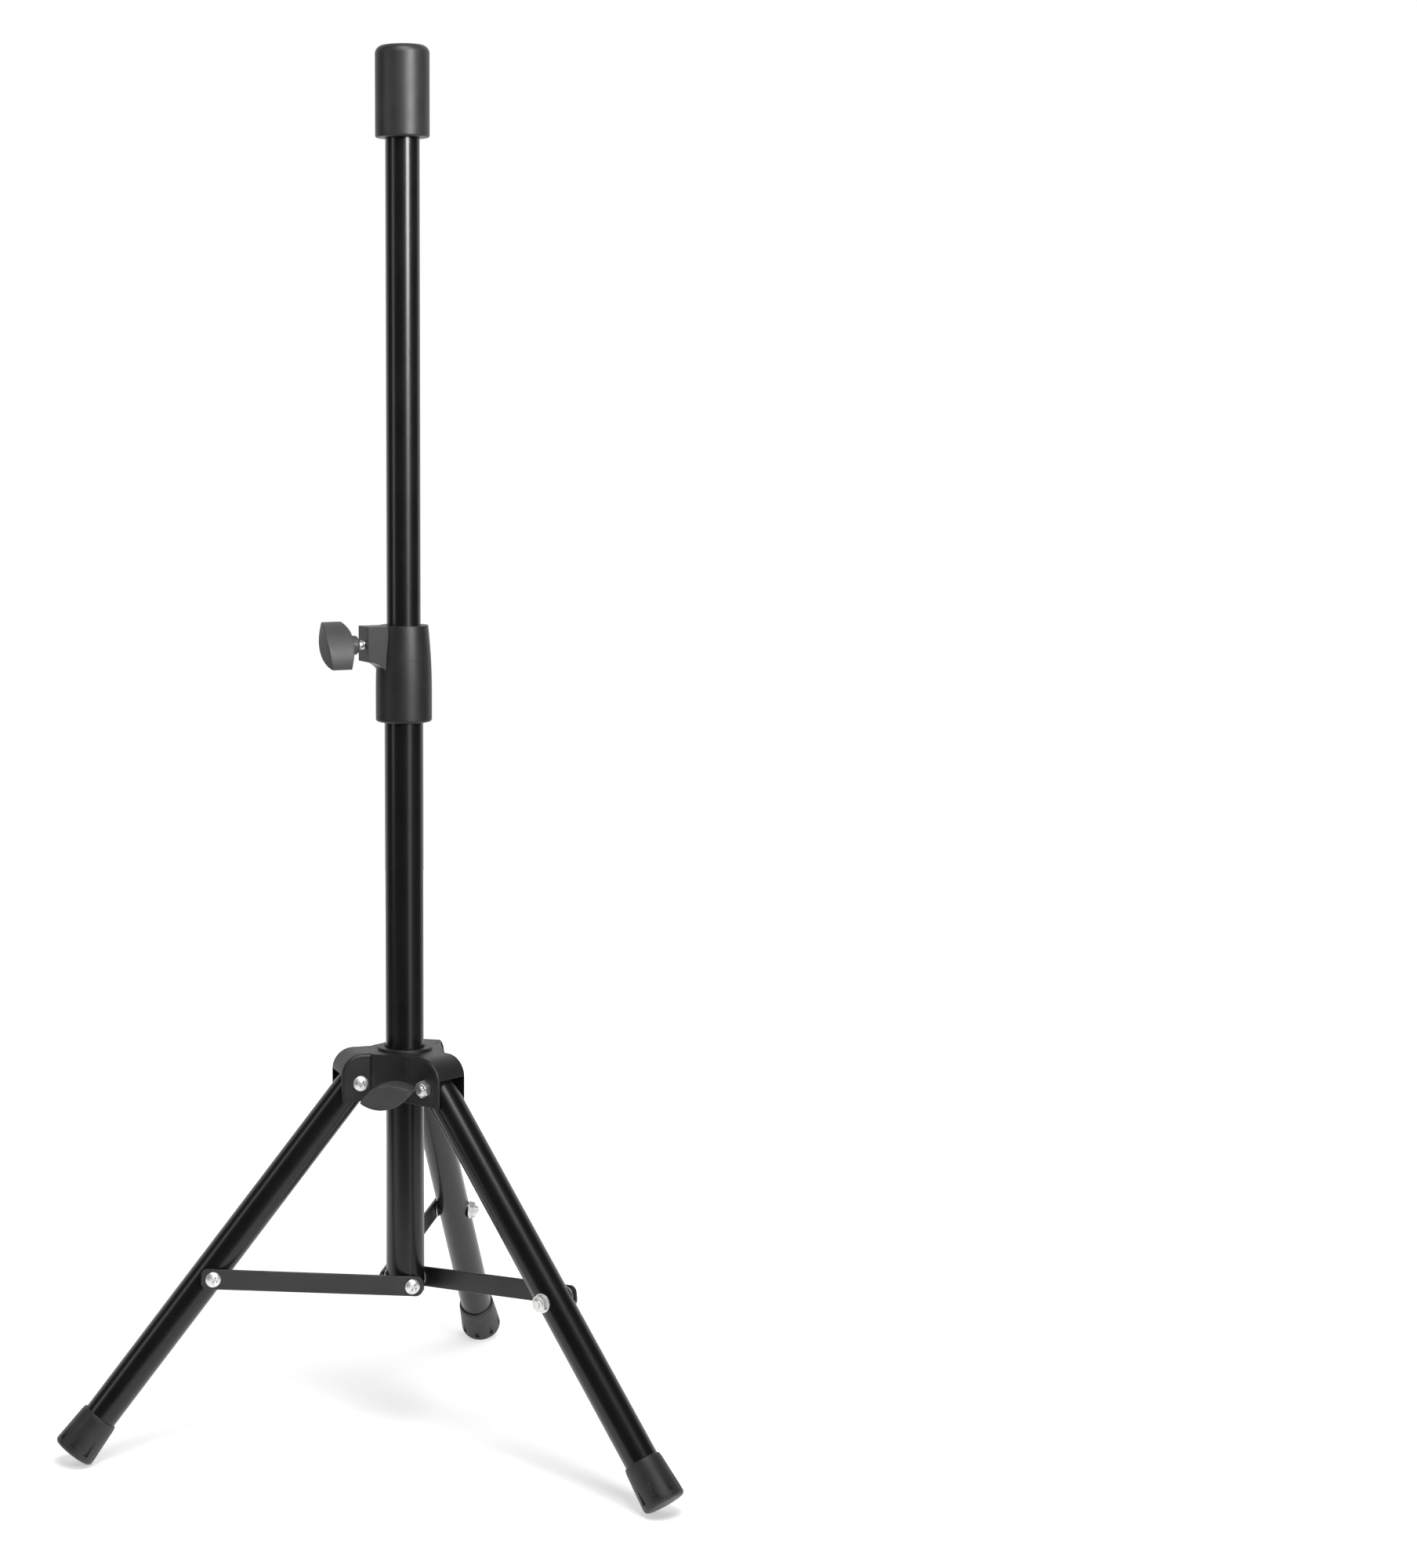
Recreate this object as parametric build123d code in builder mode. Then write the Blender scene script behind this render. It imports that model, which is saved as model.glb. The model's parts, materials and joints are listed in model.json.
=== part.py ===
from build123d import *
import math
import os

# Speaker tripod stand: a telescoping mast on three folding legs.
# Millimetres, +Z up. The origin is on the floor, under the mast's axis.

# ---- Driving dimensions ----
TOTAL_HEIGHT = 915.0
TUBE_WALL = 1.2
LOWER_TUBE_R = 25.4 / 2
UPPER_TUBE_R = 22.2 / 2
LEG_TUBE_R = 22.2 / 2
RUN_PLAY = 0.06  # radial play of a running fit
SEAT_PLAY = 0.03  # radial play where a piece is pressed or moulded on
SLIP_GAP = 0.27  # gap between flat faces that turn against each other

# Mast
LOWER_TUBE_BOTTOM = 102.0
LOWER_TUBE_TOP = 519.5
UPPER_TUBE_BOTTOM = 439.0
ADAPTER_R = 35.0 / 2
ADAPTER_LENGTH = 58.0
ADAPTER_TOP_ROUND = 5.5
ADAPTER_FOOT_ROUND = 1.4
ADAPTER_CAP = 4.0
PLUG_FLANGE = 3.0
PLUG_DEPTH = 18.0
GUIDE_FLANGE = 8.0
GUIDE_STEM = 18.0
GUIDE_BORE_R = 7.5

# Height clamp
COLLAR_BOTTOM = 482.0
COLLAR_TOP = 545.0
COLLAR_R = 18.4
COLLAR_TOP_R = 16.0
COLLAR_TAPER_START = 502.0
COLLAR_FOOT_ROUND = 1.8
COLLAR_EDGE_ROUND = 0.5
COLLAR_SEAM_Z = 523.0
SEAM_DEPTH = 0.25
SEAM_HEIGHT = 0.4
CLAMP_AZIMUTH = 217.0
CLAMP_SCREW_Z = 533.0
BOSS_REACH = 28.5
BOSS_HALF_WIDTH = 8.15
BOSS_UNDERSIDE_Z = 522.2
BOSS_UNDERSIDE_R = 16.0
BOSS_UNDERSIDE_TURN = 62.0  # degrees of arc under the boss

# Tripod
LEG_AZIMUTHS = (90.0, 210.0, 330.0)
LEG_ANGLE = 39.3  # from the vertical
LEG_OFFSET = -3.6  # legs stand this far to the side of the radial plane
HUB_PIVOT_R = 32.9
HUB_PIVOT_Z = 244.3
LEG_HEAD = 5.0  # leg tube above its pivot
STRUT_PIVOT_Z = 106.0
STRUT_ON_LEG = 159.8  # along the leg, from its pivot
STRUT_HEIGHT = 13.4
STRUT_THICK = 2.0
STRUT_END = 7.8  # bar beyond each pivot
STRUT_CORNER_R = 4.6
STRUT_EDGE_ROUND = 0.45

# Hub
HUB_BOTTOM = 232.4
HUB_TOP = 264.0
HUB_REACH = 45.7
HUB_CORNER_R = 14.0
HUB_SHELL = 2.5
HUB_CAP_BOTTOM = 250.8
HUB_RIM = 2.2
HUB_RECESS = 0.6
HUB_EDGE_ROUND = 1.8
LOBE_HALF_WIDTH = 13.3
CAVITY_HALF_WIDTH = 11.4
CAVITY_START_R = 17.9
HUB_WEB_R = 23.2
WEB_CHAMFER = 3.0
WEB_CHAMFER_DEPTH = 1.4
WEB_ENDS = (-14.6, 6.8)  # the flat web between two lobes, sideways
HUB_RING_R = 18.2
HUB_RING_HEIGHT = 1.9
HUB_KNOB_AZIMUTH = 270.0
HUB_SCREW_Z = 242.4

# Feet
FOOT_LENGTH = 30.0
FOOT_TOP_R = 12.5
FOOT_BOTTOM_R = 14.5
FOOT_EDGE_R = 3.0
FOOT_SOLE = 5.0
FLUTE_COUNT = 8
FLUTE_FLOOR_R = 12.9
FLUTE_HALF_WIDTH = 1.7
FLUTE_LENGTH = 17.5
FLUTE_END = 4.6  # the flutes stop this far above the sole
FOOT_LIP_ROUND = 0.9

# Fasteners
SCREW_R = 3.0
HEAD_R = 5.2
HEAD_HEIGHT = 2.6
HEAD_ROUND = 1.2
RECESS_LENGTH = 5.4
RECESS_WIDTH = 1.3
RECESS_DEPTH = 1.5
NUT_FLATS = 10.0
NUT_HEIGHT = 3.2
NUT_COLLAR_R = 4.3
NUT_COLLAR_HEIGHT = 1.2
INSERT_NUT_HEIGHT = 5.0
WASHER_R = 6.3
WASHER_THICK = 0.9
BOLT_PAST_NUT = 1.3
SCREW_IN_PLUG_R = 4.2  # the three screw tips stop short of each other

# Knobs: a wing with a lens-shaped face on a short neck
WING_LENGTH = 36.0
WING_THICK = 15.5
WING_DEPTH = 18.3
WING_DOME = 2.8
WING_BACK_SLOPE = 2.4
WING_ROUND = 0.7
NECK_LENGTH = 5.2
NECK_R = 6.3
NECK_ROUND = 1.9
KNOB_START = 33.0  # neck tip from the mast's axis
CLAMP_WING_TILT = 123.0
HUB_WING_TILT = 15.0
KNOB_SCREW_END = 51.0
PAD_R = 4.7
PAD_THICK = 2.0
PAD_GAP = 0.1  # from pad to tube, and from screw to pad
NUT_POCKET_PLAY = 0.1
NUT_POCKET_END_PLAY = 0.3
SCREW_HOLE_PLAY = 0.3

# ---- Worked out from the driving dimensions ----
ADAPTER_BOTTOM = TOTAL_HEIGHT - ADAPTER_LENGTH
UPPER_TUBE_TOP = TOTAL_HEIGHT - ADAPTER_CAP
LOWER_BORE_R = LOWER_TUBE_R - TUBE_WALL
UPPER_BORE_R = UPPER_TUBE_R - TUBE_WALL
LEG_SIN = math.sin(math.radians(LEG_ANGLE))
LEG_COS = math.cos(math.radians(LEG_ANGLE))
NUT_R = NUT_FLATS / math.sqrt(3)
# The foot's rounded edge just touches the floor.
FOOT_FLAT_R = FOOT_BOTTOM_R - FOOT_EDGE_R
LEG_REACH = FOOT_EDGE_R + (HUB_PIVOT_Z - FOOT_EDGE_R - FOOT_FLAT_R * LEG_SIN) / LEG_COS
LEG_TUBE_LENGTH = LEG_REACH - FOOT_SOLE
STRUT_OUTER_R = HUB_PIVOT_R + STRUT_ON_LEG * LEG_SIN
STRUT_OUTER_Z = HUB_PIVOT_Z - STRUT_ON_LEG * LEG_COS
# Sideways places of the stacks on the two strut pivots: washer, bar, head.
LEG_FACE = LEG_OFFSET + LEG_TUBE_R
LEG_BACK = LEG_OFFSET - LEG_TUBE_R
INNER_BAR_FACE = LOWER_TUBE_R + WASHER_THICK + SLIP_GAP
OUTER_BAR_FACE = LEG_FACE + WASHER_THICK + SLIP_GAP
HUB_FACE = LOBE_HALF_WIDTH + LEG_OFFSET - HUB_RECESS
HUB_BACK = LEG_OFFSET - LOBE_HALF_WIDTH + HUB_RECESS
SEAM_FLOOR_R = COLLAR_R - SEAM_DEPTH * 3
NUT_POCKET_END = PAD_THICK + INSERT_NUT_HEIGHT + NUT_POCKET_END_PLAY * 2


def outward(azimuth):
    """Unit vector from the mast's axis, at an azimuth in degrees."""
    angle = math.radians(azimuth)
    return Vector(math.cos(angle), math.sin(angle), 0)


def sideways(azimuth):
    """Unit vector a quarter turn anticlockwise from outward, seen from above."""
    return outward(azimuth + 90)


def side_plane(azimuth, offset):
    """Upright plane: x runs outward, y up, and extrude lowers the sideways offset."""
    side = sideways(azimuth)
    return Plane(origin=side * offset, x_dir=outward(azimuth), z_dir=side * -1)


def facing_plane(azimuth, distance, height):
    """Upright plane that faces outward: x runs sideways and y up."""
    origin = outward(azimuth) * distance + Vector(0, 0, height)
    return Plane(origin=origin, x_dir=sideways(azimuth), z_dir=outward(azimuth))


def leg_direction(azimuth):
    """Unit vector down along a leg."""
    return outward(azimuth) * LEG_SIN - Vector(0, 0, LEG_COS)


def leg_pivot(azimuth):
    """Centre of the leg tube at its hub pivot."""
    across = sideways(azimuth) * LEG_OFFSET
    return outward(azimuth) * HUB_PIVOT_R + across + Vector(0, 0, HUB_PIVOT_Z)


def leg_section(azimuth):
    """Plane through the leg's axis: x runs down the leg from its pivot."""
    return Plane(
        origin=leg_pivot(azimuth), x_dir=leg_direction(azimuth), z_dir=sideways(azimuth)
    )


def pivot_plane(azimuth, radius, height, side):
    """Plane across a pivot pin, at a sideways place, facing sideways."""
    origin = outward(azimuth) * radius + sideways(azimuth) * side + Vector(0, 0, height)
    return Plane(origin=origin, x_dir=outward(azimuth), z_dir=sideways(azimuth))


def save(part, name):
    part.label = name
    export_step(part, f"parts/{name}.step")


os.makedirs("parts", exist_ok=True)

# ---- Mast ----
with BuildPart() as lower_tube:
    with BuildSketch(Plane.XY.offset(LOWER_TUBE_BOTTOM)):
        Circle(LOWER_TUBE_R)
        Circle(LOWER_BORE_R, mode=Mode.SUBTRACT)
    extrude(amount=LOWER_TUBE_TOP - LOWER_TUBE_BOTTOM)
    for azimuth in LEG_AZIMUTHS:
        with BuildSketch(facing_plane(azimuth + 90, 0, STRUT_PIVOT_Z)):
            Circle(SCREW_R + SEAT_PLAY)
        extrude(amount=LOWER_TUBE_R * 2, mode=Mode.SUBTRACT)
save(lower_tube.part, "lower_tube")

# Plug in the lower tube's foot: it takes the three strut screws.
with BuildPart() as lower_tube_end_plug:
    with BuildSketch(Plane.XY.offset(LOWER_TUBE_BOTTOM - PLUG_FLANGE)):
        Circle(LOWER_TUBE_R)
    extrude(amount=PLUG_FLANGE)
    fillet(lower_tube_end_plug.edges().sort_by(Axis.Z)[0], PLUG_FLANGE / 2)
    with BuildSketch(Plane.XY.offset(LOWER_TUBE_BOTTOM)):
        Circle(LOWER_BORE_R - SEAT_PLAY)
    extrude(amount=PLUG_DEPTH)
    for azimuth in LEG_AZIMUTHS:
        with BuildSketch(facing_plane(azimuth + 90, SCREW_IN_PLUG_R, STRUT_PIVOT_Z)):
            Circle(SCREW_R + SEAT_PLAY)
        extrude(amount=LOWER_TUBE_R, mode=Mode.SUBTRACT)
save(lower_tube_end_plug.part, "lower_tube_end_plug")

with BuildPart() as upper_tube:
    with BuildSketch(Plane.XY.offset(UPPER_TUBE_BOTTOM)):
        Circle(UPPER_TUBE_R)
        Circle(UPPER_BORE_R, mode=Mode.SUBTRACT)
    extrude(amount=UPPER_TUBE_TOP - UPPER_TUBE_BOTTOM)
save(upper_tube.part, "upper_tube")

# Guide in the upper tube's lower end: it slides in the lower tube's bore.
with BuildPart() as upper_tube_guide:
    with BuildSketch(Plane.XY.offset(UPPER_TUBE_BOTTOM - GUIDE_FLANGE)):
        Circle(LOWER_BORE_R - RUN_PLAY)
    extrude(amount=GUIDE_FLANGE)
    chamfer(upper_tube_guide.edges().sort_by(Axis.Z)[0], 1)
    with BuildSketch(Plane.XY.offset(UPPER_TUBE_BOTTOM)):
        Circle(UPPER_BORE_R - SEAT_PLAY)
    extrude(amount=GUIDE_STEM)
    with BuildSketch(Plane.XY.offset(UPPER_TUBE_BOTTOM - GUIDE_FLANGE)):
        Circle(GUIDE_BORE_R)
    extrude(amount=GUIDE_FLANGE + GUIDE_STEM, mode=Mode.SUBTRACT)
save(upper_tube_guide.part, "upper_tube_guide")

# The speaker's pole cup goes over this sleeve.
with BuildPart() as pole_adapter:
    with BuildSketch(Plane.XY.offset(ADAPTER_BOTTOM)):
        Circle(ADAPTER_R)
    extrude(amount=ADAPTER_LENGTH)
    fillet(pole_adapter.edges().sort_by(Axis.Z)[-1], ADAPTER_TOP_ROUND)
    fillet(pole_adapter.edges().sort_by(Axis.Z)[0], ADAPTER_FOOT_ROUND)
    with BuildSketch(Plane.XY.offset(ADAPTER_BOTTOM)):
        Circle(UPPER_TUBE_R + SEAT_PLAY)
    extrude(amount=ADAPTER_LENGTH - ADAPTER_CAP, mode=Mode.SUBTRACT)
save(pole_adapter.part, "pole_adapter")

# ---- Height clamp ----
with BuildPart() as clamp_collar:
    with BuildSketch(Plane.XZ):
        with BuildLine():
            base = Polyline(
                (0, COLLAR_TOP), (0, COLLAR_BOTTOM), (COLLAR_R, COLLAR_BOTTOM),
                (COLLAR_R, COLLAR_TAPER_START),
            )
            TangentArc(base @ 1, (COLLAR_TOP_R, COLLAR_TOP), tangent=(0, 1))
            Line((COLLAR_TOP_R, COLLAR_TOP), (0, COLLAR_TOP))
        make_face()
    revolve(axis=Axis.Z)
    fillet(clamp_collar.edges().sort_by(Axis.Z)[0], COLLAR_FOOT_ROUND)
    with BuildSketch(Plane.XY.offset(COLLAR_SEAM_Z)):
        Circle(COLLAR_R + 1)
        Circle(SEAM_FLOOR_R, mode=Mode.SUBTRACT)
    extrude(amount=SEAM_HEIGHT, mode=Mode.SUBTRACT)
    # Boss for the knob's screw, with a hollow curve under it.
    with BuildSketch(side_plane(CLAMP_AZIMUTH, BOSS_HALF_WIDTH)):
        arc_centre = Vector(BOSS_REACH, BOSS_UNDERSIDE_Z - BOSS_UNDERSIDE_R)
        underside_turn = math.radians(BOSS_UNDERSIDE_TURN)
        root_r = BOSS_REACH - BOSS_UNDERSIDE_R * math.sin(underside_turn)
        root_z = arc_centre.Y + BOSS_UNDERSIDE_R * math.cos(underside_turn)
        with BuildLine():
            top = Polyline(
                (root_r, root_z), (root_r, COLLAR_TOP), (BOSS_REACH, COLLAR_TOP),
                (BOSS_REACH, BOSS_UNDERSIDE_Z),
            )
            TangentArc(top @ 1, top @ 0, tangent=(-1, 0))
        make_face()
    extrude(amount=BOSS_HALF_WIDTH * 2)
    with BuildSketch(Plane.XY.offset(COLLAR_BOTTOM)):
        Circle(LOWER_TUBE_R + SEAT_PLAY)
    extrude(amount=LOWER_TUBE_TOP - COLLAR_BOTTOM, mode=Mode.SUBTRACT)
    with BuildSketch(Plane.XY.offset(LOWER_TUBE_TOP)):
        Circle(UPPER_TUBE_R + RUN_PLAY)
    extrude(amount=COLLAR_TOP - LOWER_TUBE_TOP, mode=Mode.SUBTRACT)
    with BuildSketch(facing_plane(CLAMP_AZIMUTH, 0, CLAMP_SCREW_Z)):
        RegularPolygon(NUT_R + NUT_POCKET_PLAY, 6)
    extrude(amount=UPPER_TUBE_R + NUT_POCKET_END, mode=Mode.SUBTRACT)
    with BuildSketch(facing_plane(CLAMP_AZIMUTH, UPPER_TUBE_R, CLAMP_SCREW_Z)):
        Circle(SCREW_R + SCREW_HOLE_PLAY)
    extrude(amount=BOSS_REACH, mode=Mode.SUBTRACT)
save(clamp_collar.part, "clamp_collar")

# ---- Hub ----
PANEL_START = HUB_RING_R
PANEL_EDGE = HUB_REACH - HUB_RIM
PANEL_TOP = HUB_TOP - HUB_RIM
CORNER_CENTRE = (HUB_REACH - HUB_CORNER_R, HUB_TOP - HUB_CORNER_R)
CAVITY_REACH = HUB_REACH - HUB_SHELL
CAVITY_TOP = HUB_TOP - HUB_SHELL


def lobe_profile(start, reach, top, bottom):
    """Side view of a lobe or its hollow, with the lobe's big rounded corner."""
    with BuildSketch() as profile:
        with BuildLine():
            roof = Line((start, top), (CORNER_CENTRE[0], top))
            corner = TangentArc(roof @ 1, (reach, CORNER_CENTRE[1]), tangent=(1, 0))
            Polyline(corner @ 1, (reach, bottom), (start, bottom), (start, top))
        make_face()
    return profile.sketch


def web_outline(azimuth):
    """Corners of the web between two lobes, seen from above: a flat with chamfered ends."""
    left, right = WEB_ENDS
    foot_r = HUB_WEB_R - WEB_CHAMFER_DEPTH
    corners = (
        (left - WEB_CHAMFER, 0), (left - WEB_CHAMFER, foot_r), (left, HUB_WEB_R),
        (right, HUB_WEB_R), (right + WEB_CHAMFER, foot_r), (right + WEB_CHAMFER, 0),
    )
    return [outward(azimuth) * r + sideways(azimuth) * side for side, r in corners]


with BuildPart() as hub:
    for azimuth in LEG_AZIMUTHS:
        with BuildSketch(side_plane(azimuth, LEG_OFFSET + LOBE_HALF_WIDTH)):
            add(lobe_profile(0, HUB_REACH, HUB_TOP, HUB_BOTTOM))
        extrude(amount=LOBE_HALF_WIDTH * 2)
    # Round the outline of each lobe where it stands clear of the others.
    for azimuth in LEG_AZIMUTHS:
        out = Axis(Vector(0, 0, 0), outward(azimuth))
        rims = hub.edges().filter_by(
            lambda edge: (edge @ 0.5).dot(out.direction) > HUB_PIVOT_R
            and abs(abs((edge @ 0.5).dot(sideways(azimuth)) - LEG_OFFSET) - LOBE_HALF_WIDTH) < 0.01
            and (edge @ 0.5).Z > HUB_BOTTOM + 1
        )
        fillet(rims, HUB_EDGE_ROUND)
    # Sunk side panels leave a rim round each lobe.
    for azimuth in LEG_AZIMUTHS:
        for face in (LEG_OFFSET + LOBE_HALF_WIDTH, HUB_BACK):
            with BuildSketch(side_plane(azimuth, face)):
                add(lobe_profile(PANEL_START, PANEL_EDGE, PANEL_TOP, HUB_BOTTOM - 1))
            extrude(amount=HUB_RECESS, mode=Mode.SUBTRACT)
    # Core with flat webs between the lobes, under the overhanging top.
    with BuildSketch(Plane.XY.offset(HUB_BOTTOM)):
        Circle(HUB_WEB_R - WEB_CHAMFER_DEPTH)
        for azimuth in LEG_AZIMUTHS:
            with BuildLine():
                Polyline(web_outline(azimuth + 180), close=True)
            make_face()
    extrude(amount=HUB_TOP - HUB_BOTTOM)
    # Ring round the mast.
    with BuildSketch(Plane.XY.offset(HUB_TOP)):
        Circle(HUB_RING_R)
    extrude(amount=HUB_RING_HEIGHT)
    fillet(hub.edges().sort_by(Axis.Z)[-1], 0.8)
    # Slots that the legs swing in.
    for azimuth in LEG_AZIMUTHS:
        with BuildSketch(side_plane(azimuth, LEG_OFFSET + CAVITY_HALF_WIDTH)):
            add(lobe_profile(CAVITY_START_R, CAVITY_REACH, CAVITY_TOP, HUB_BOTTOM - 1))
            with Locations((HUB_REACH, (HUB_CAP_BOTTOM + HUB_BOTTOM - 10) / 2)):
                Rectangle(HUB_CORNER_R, HUB_CAP_BOTTOM - HUB_BOTTOM + 10)
        extrude(amount=CAVITY_HALF_WIDTH * 2, mode=Mode.SUBTRACT)
        with BuildSketch(side_plane(azimuth, LEG_OFFSET + LOBE_HALF_WIDTH + 1)):
            with Locations((HUB_PIVOT_R, HUB_PIVOT_Z)):
                Circle(SCREW_R + SEAT_PLAY)
        extrude(amount=LOBE_HALF_WIDTH * 2 + 2, mode=Mode.SUBTRACT)
    # Bore for the lower tube, with a wide countersink at the ring.
    with BuildSketch(Plane.XY.offset(HUB_BOTTOM)):
        Circle(LOWER_TUBE_R + RUN_PLAY)
    extrude(amount=HUB_TOP + HUB_RING_HEIGHT - HUB_BOTTOM, mode=Mode.SUBTRACT)
    chamfer(hub.edges().filter_by(GeomType.CIRCLE).group_by(Axis.Z)[-1].sort_by(
        SortBy.RADIUS)[0], 1.2)
    with BuildSketch(facing_plane(HUB_KNOB_AZIMUTH, 0, HUB_SCREW_Z)):
        RegularPolygon(NUT_R + NUT_POCKET_PLAY, 6)
    extrude(amount=LOWER_TUBE_R + NUT_POCKET_END, mode=Mode.SUBTRACT)
    with BuildSketch(facing_plane(HUB_KNOB_AZIMUTH, LOWER_TUBE_R, HUB_SCREW_Z)):
        Circle(SCREW_R + SCREW_HOLE_PLAY)
    extrude(amount=HUB_REACH, mode=Mode.SUBTRACT)
save(hub.part, "hub")

# ---- Knobs, their screws, insert nuts and pressure pads ----
CLAMPS = (
    ("clamp", CLAMP_AZIMUTH, CLAMP_SCREW_Z, UPPER_TUBE_R, CLAMP_WING_TILT),
    ("hub", HUB_KNOB_AZIMUTH, HUB_SCREW_Z, LOWER_TUBE_R, HUB_WING_TILT),
)
for name, azimuth, screw_z, tube_r, tilt in CLAMPS:
    wing_start = KNOB_START + NECK_LENGTH
    pad_start = tube_r + PAD_GAP
    screw_start = pad_start + PAD_THICK + PAD_GAP
    nut_start = tube_r + PAD_THICK + NUT_POCKET_END_PLAY
    half = WING_LENGTH / 2
    lean = math.radians(tilt)
    long_way = sideways(azimuth) * math.cos(lean) + Vector(0, 0, math.sin(lean))
    wing_root = outward(azimuth) * wing_start + Vector(0, 0, screw_z)
    wing_plane = Plane(wing_root, long_way, outward(azimuth))

    with BuildPart() as knob:
        with BuildSketch(wing_plane):
            with BuildLine():
                ThreePointArc((-half, 0), (0, WING_THICK / 2), (half, 0))
                ThreePointArc((half, 0), (0, -WING_THICK / 2), (-half, 0))
            make_face()
        extrude(amount=WING_DEPTH)
        # Domed face and sloping shoulders, seen along the wing's thickness.
        with BuildSketch(Plane(wing_plane.origin, wing_plane.x_dir, wing_plane.y_dir)):
            with BuildLine():
                shoulders = Polyline(
                    (half + 1, WING_DOME - WING_DEPTH), (half + 1, -WING_BACK_SLOPE),
                    (NECK_R, 0), (-NECK_R, 0),
                    (-half - 1, -WING_BACK_SLOPE), (-half - 1, WING_DOME - WING_DEPTH),
                )
                ThreePointArc(shoulders @ 1, (0, -WING_DEPTH), shoulders @ 0)
            make_face()
        extrude(amount=WING_THICK, both=True, mode=Mode.INTERSECT)
        fillet(knob.edges(), WING_ROUND)
        with BuildSketch(facing_plane(azimuth, wing_start + 1, screw_z)):
            Circle(NECK_R)
        extrude(amount=-NECK_LENGTH - 1)
        fillet(knob.edges().sort_by(Axis(Vector(0, 0, screw_z), outward(azimuth)))[0], NECK_ROUND)
        with BuildSketch(facing_plane(azimuth, KNOB_START, screw_z)):
            Circle(SCREW_R + SEAT_PLAY)
        extrude(amount=KNOB_SCREW_END - KNOB_START, mode=Mode.SUBTRACT)
    save(knob.part, f"{name}_knob")

    with BuildPart() as screw:
        with BuildSketch(facing_plane(azimuth, screw_start, screw_z)):
            Circle(SCREW_R)
        extrude(amount=KNOB_SCREW_END - screw_start)
    save(screw.part, f"{name}_screw")

    with BuildPart() as insert_nut:
        with BuildSketch(facing_plane(azimuth, nut_start, screw_z)):
            RegularPolygon(NUT_R, 6)
            Circle(SCREW_R + RUN_PLAY, mode=Mode.SUBTRACT)
        extrude(amount=INSERT_NUT_HEIGHT)
    save(insert_nut.part, f"{name}_insert_nut")

    with BuildPart() as pad:
        with BuildSketch(facing_plane(azimuth, 0, screw_z)):
            Circle(PAD_R)
        extrude(amount=pad_start + PAD_THICK)
        with BuildSketch(Plane.XY.offset(screw_z - PAD_R - 1)):
            Circle(pad_start)
        extrude(amount=PAD_R * 2 + 2, mode=Mode.SUBTRACT)
    save(pad.part, f"{name}_pad")


# ---- Fasteners ----
def pan_head_screw(plane, length, head=True):
    """Pan head with a cross recess above the plane, shank below it."""
    with BuildPart() as screw:
        with BuildSketch(plane):
            Circle(SCREW_R)
        extrude(amount=-length)
        if head:
            up = Axis(plane.origin, plane.z_dir)
            with BuildSketch(plane):
                Circle(HEAD_R)
            extrude(amount=HEAD_HEIGHT)
            fillet(screw.edges().sort_by(up)[-1], HEAD_ROUND)
            with BuildSketch(plane.offset(HEAD_HEIGHT - RECESS_DEPTH)):
                Rectangle(RECESS_LENGTH, RECESS_WIDTH)
                Rectangle(RECESS_WIDTH, RECESS_LENGTH)
            extrude(amount=RECESS_DEPTH * 2, mode=Mode.SUBTRACT)
    return screw.part


def lock_nut(plane):
    """Hexagon nut with a round locking collar, below the plane."""
    with BuildPart() as nut:
        with BuildSketch(plane):
            RegularPolygon(NUT_R, 6)
        extrude(amount=-NUT_HEIGHT)
        with BuildSketch(plane.offset(-NUT_HEIGHT)):
            Circle(NUT_COLLAR_R)
        extrude(amount=-NUT_COLLAR_HEIGHT)
        with BuildSketch(plane):
            Circle(SCREW_R + SEAT_PLAY)
        extrude(amount=-NUT_HEIGHT - NUT_COLLAR_HEIGHT, mode=Mode.SUBTRACT)
    return nut.part


def washer(plane):
    """Flat washer below the plane."""
    with BuildPart() as ring:
        with BuildSketch(plane):
            Circle(WASHER_R)
            Circle(SCREW_R + SEAT_PLAY, mode=Mode.SUBTRACT)
        extrude(amount=-WASHER_THICK)
    return ring.part


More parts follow.
